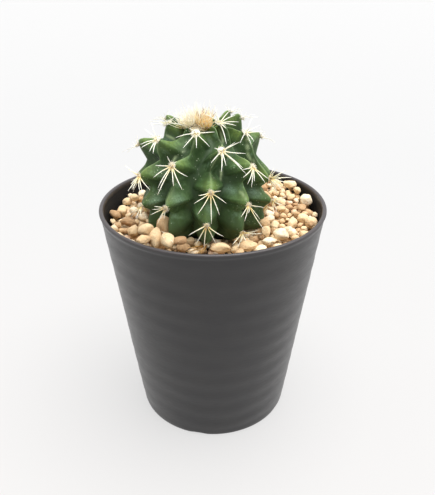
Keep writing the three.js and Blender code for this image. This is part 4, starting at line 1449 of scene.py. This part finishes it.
# Groups of young spines, with the colours that each has and its spines' width.
crownTufts = {
    "pale": {"offset": (-2.6, -0.9), "radius": 3.1, "spines": 210, "length": (3.0, 7.2), "lean": 34,
             "width": 0.13, "colours": "pale"},
    "tan": {"offset": (2.6, -1.7), "radius": 2.5, "spines": 170, "length": (2.6, 6.8), "lean": 24,
            "width": 0.13, "colours": "tan"},
    "flecked": {"offset": (2.7, -1.2), "radius": 1.9, "spines": 12, "length": (4.6, 6.6), "lean": 18,
                "width": 0.2, "colours": "flecked"},
    "long": {"offset": (0, 0), "radius": 4.41, "spines": 46, "length": (6, 9.5), "lean": 30,
             "width": 0.09, "colours": "pale"},
}


def crownDome():
    ball, faces = roundBall(5)
    lumps = 1 + 0.12 * softNoise(ball * 4, 1, 41) + 0.05 * softNoise(ball * 11, 1, 42)
    points = ball * (crown["radius"], crown["radius"], crown["height"]) * lumps[:, None] + crown["centre"]
    return points, faces, np.clip(ball[:, 2] * 0.5 + 0.3, 0, 1), 0


def domePoint(x, y):
    # a point of the dome over that place, given from its middle
    share = np.clip(np.hypot(x, y) / crown["radius"], 0, 0.97)
    z = crown["height"] * np.sqrt(1 - share ** 2)
    return np.stack([x, y, z], -1) + crown["centre"]


def crownWool(random):
    radius = crown["radius"] * np.sqrt(random.random(crown["woolHairs"])) * 0.96
    turn = random.uniform(0, 2 * np.pi, len(radius))
    roots = domePoint(radius * np.cos(turn), radius * np.sin(turn))
    out = unit((roots - crown["centre"]) * (1, 1, 2.2) + random.normal(size=roots.shape) * 0.9)
    length = random.uniform(*crown["woolLength"], (len(roots), 1))
    curl = random.normal(size=roots.shape) * 0.3
    paths = np.stack([roots, roots + out * length * 0.35 + curl * 0.6, roots + out * length * 0.7 + curl,
                      roots + out * length], 1)
    radii = np.tile((1, 0.9, 0.7, 0.3), (len(roots), 1)) * crown["hairRadius"]
    points, faces, share = tubes(paths, radii, 3)
    return points, faces, 0.35 + 0.65 * share, 0


def crownSpines(tuft, random, kind):
    count, offset = tuft["spines"], tuft["offset"]
    reach = tuft["radius"] * np.sqrt(random.random(count))
    turn = random.uniform(0, 2 * np.pi, count)
    x, y = offset[0] + reach * np.cos(turn), offset[1] + reach * np.sin(turn)
    roots = domePoint(x, y) - (0, 0, 0.5)
    outward = np.stack([np.cos(turn), np.sin(turn), np.zeros(count)], -1)
    lean = tuft["lean"] * reach / tuft["radius"] + random.normal(0, crown["disorder"], count)
    angle = np.radians(lean)[:, None]
    toward = outward * np.sin(angle) + np.array((0, 0, 1)) * np.cos(angle)
    length = random.uniform(*tuft["length"], (count, 1))
    ends = roots + toward * length
    ends[:, 2] = np.minimum(ends[:, 2], crown["ceiling"])
    share = np.linspace(0, 1, 6)[None, :, None]
    bend = random.normal(size=(count, 1, 3)) * 0.25 * np.sin(share * np.pi)
    paths = roots[:, None] + (ends - roots)[:, None] * share + bend
    radii = np.broadcast_to(tuft["width"] * (1 - 0.8 * share[0, :, 0] ** 2), (count, 6))
    points, faces, along = tubes(paths, radii, 5)
    return points, faces, along, kind


def buildCrown():
    random = np.random.default_rng(31)
    shapes = [crownDome(), crownWool(random)]
    colourNames = ("pale", "tan", "flecked")
    for tuft in crownTufts.values():
        shapes.append(crownSpines(tuft, random, 1 + colourNames.index(tuft["colours"])))
    points, faces, along, kinds = joined(shapes)
    colours = crown["woolColours"]
    finishes = [agedFinish("crownWool", 0.95, colours, colours, 0.2, **woolSockets)]
    for name in colourNames:
        colours = crown[f"{name}Colours"]
        finishes.append(agedFinish(f"{name}YoungSpine", 0.4, colours, colours, 0.04, **hornSockets))
    makePiece("crown_tuft", points, faces, finishes, ["crown_wool"],
              {"along": along}, kinds, sharp=0)
    report("crown")


def buildFloor():
    half = studio["floorSize"] / 2 * mm
    mesh = bpy.data.meshes.new("floor")
    corners = [(-half, -half, 0), (half, -half, 0), (half, half, 0), (-half, half, 0)]
    mesh.from_pydata(corners, [], [(0, 1, 2, 3)])
    finish = Finish("paleFloor", 0.6, **{"Specular IOR Level": 0.2, "Emission Color": (1, 1, 1, 1),
                                         "Emission Strength": studio["floorGlow"]})
    away = finish.range(finish.axis("Y"), studio["floorNearAt"] * mm, studio["floorFarAt"] * mm)
    paper = finish.range(finish.noise(60, 2), 0.3, 0.7, -0.03, 0.03)
    colour = finish.blend(finish.maths(away, paper), studio["floorNear"], studio["floorFar"])
    mesh.materials.append(finish.set(Base_Color=colour))
    floor = bpy.data.objects.new("floor", mesh)
    bpy.context.scene.collection.objects.link(floor)


addCamera()
addWorld()
addLights()
buildFloor()
buildPot()
buildSoil()
buildStem()
buildGravel()
buildSpineClusters()
buildCrown()

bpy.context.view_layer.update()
report("all pieces made")
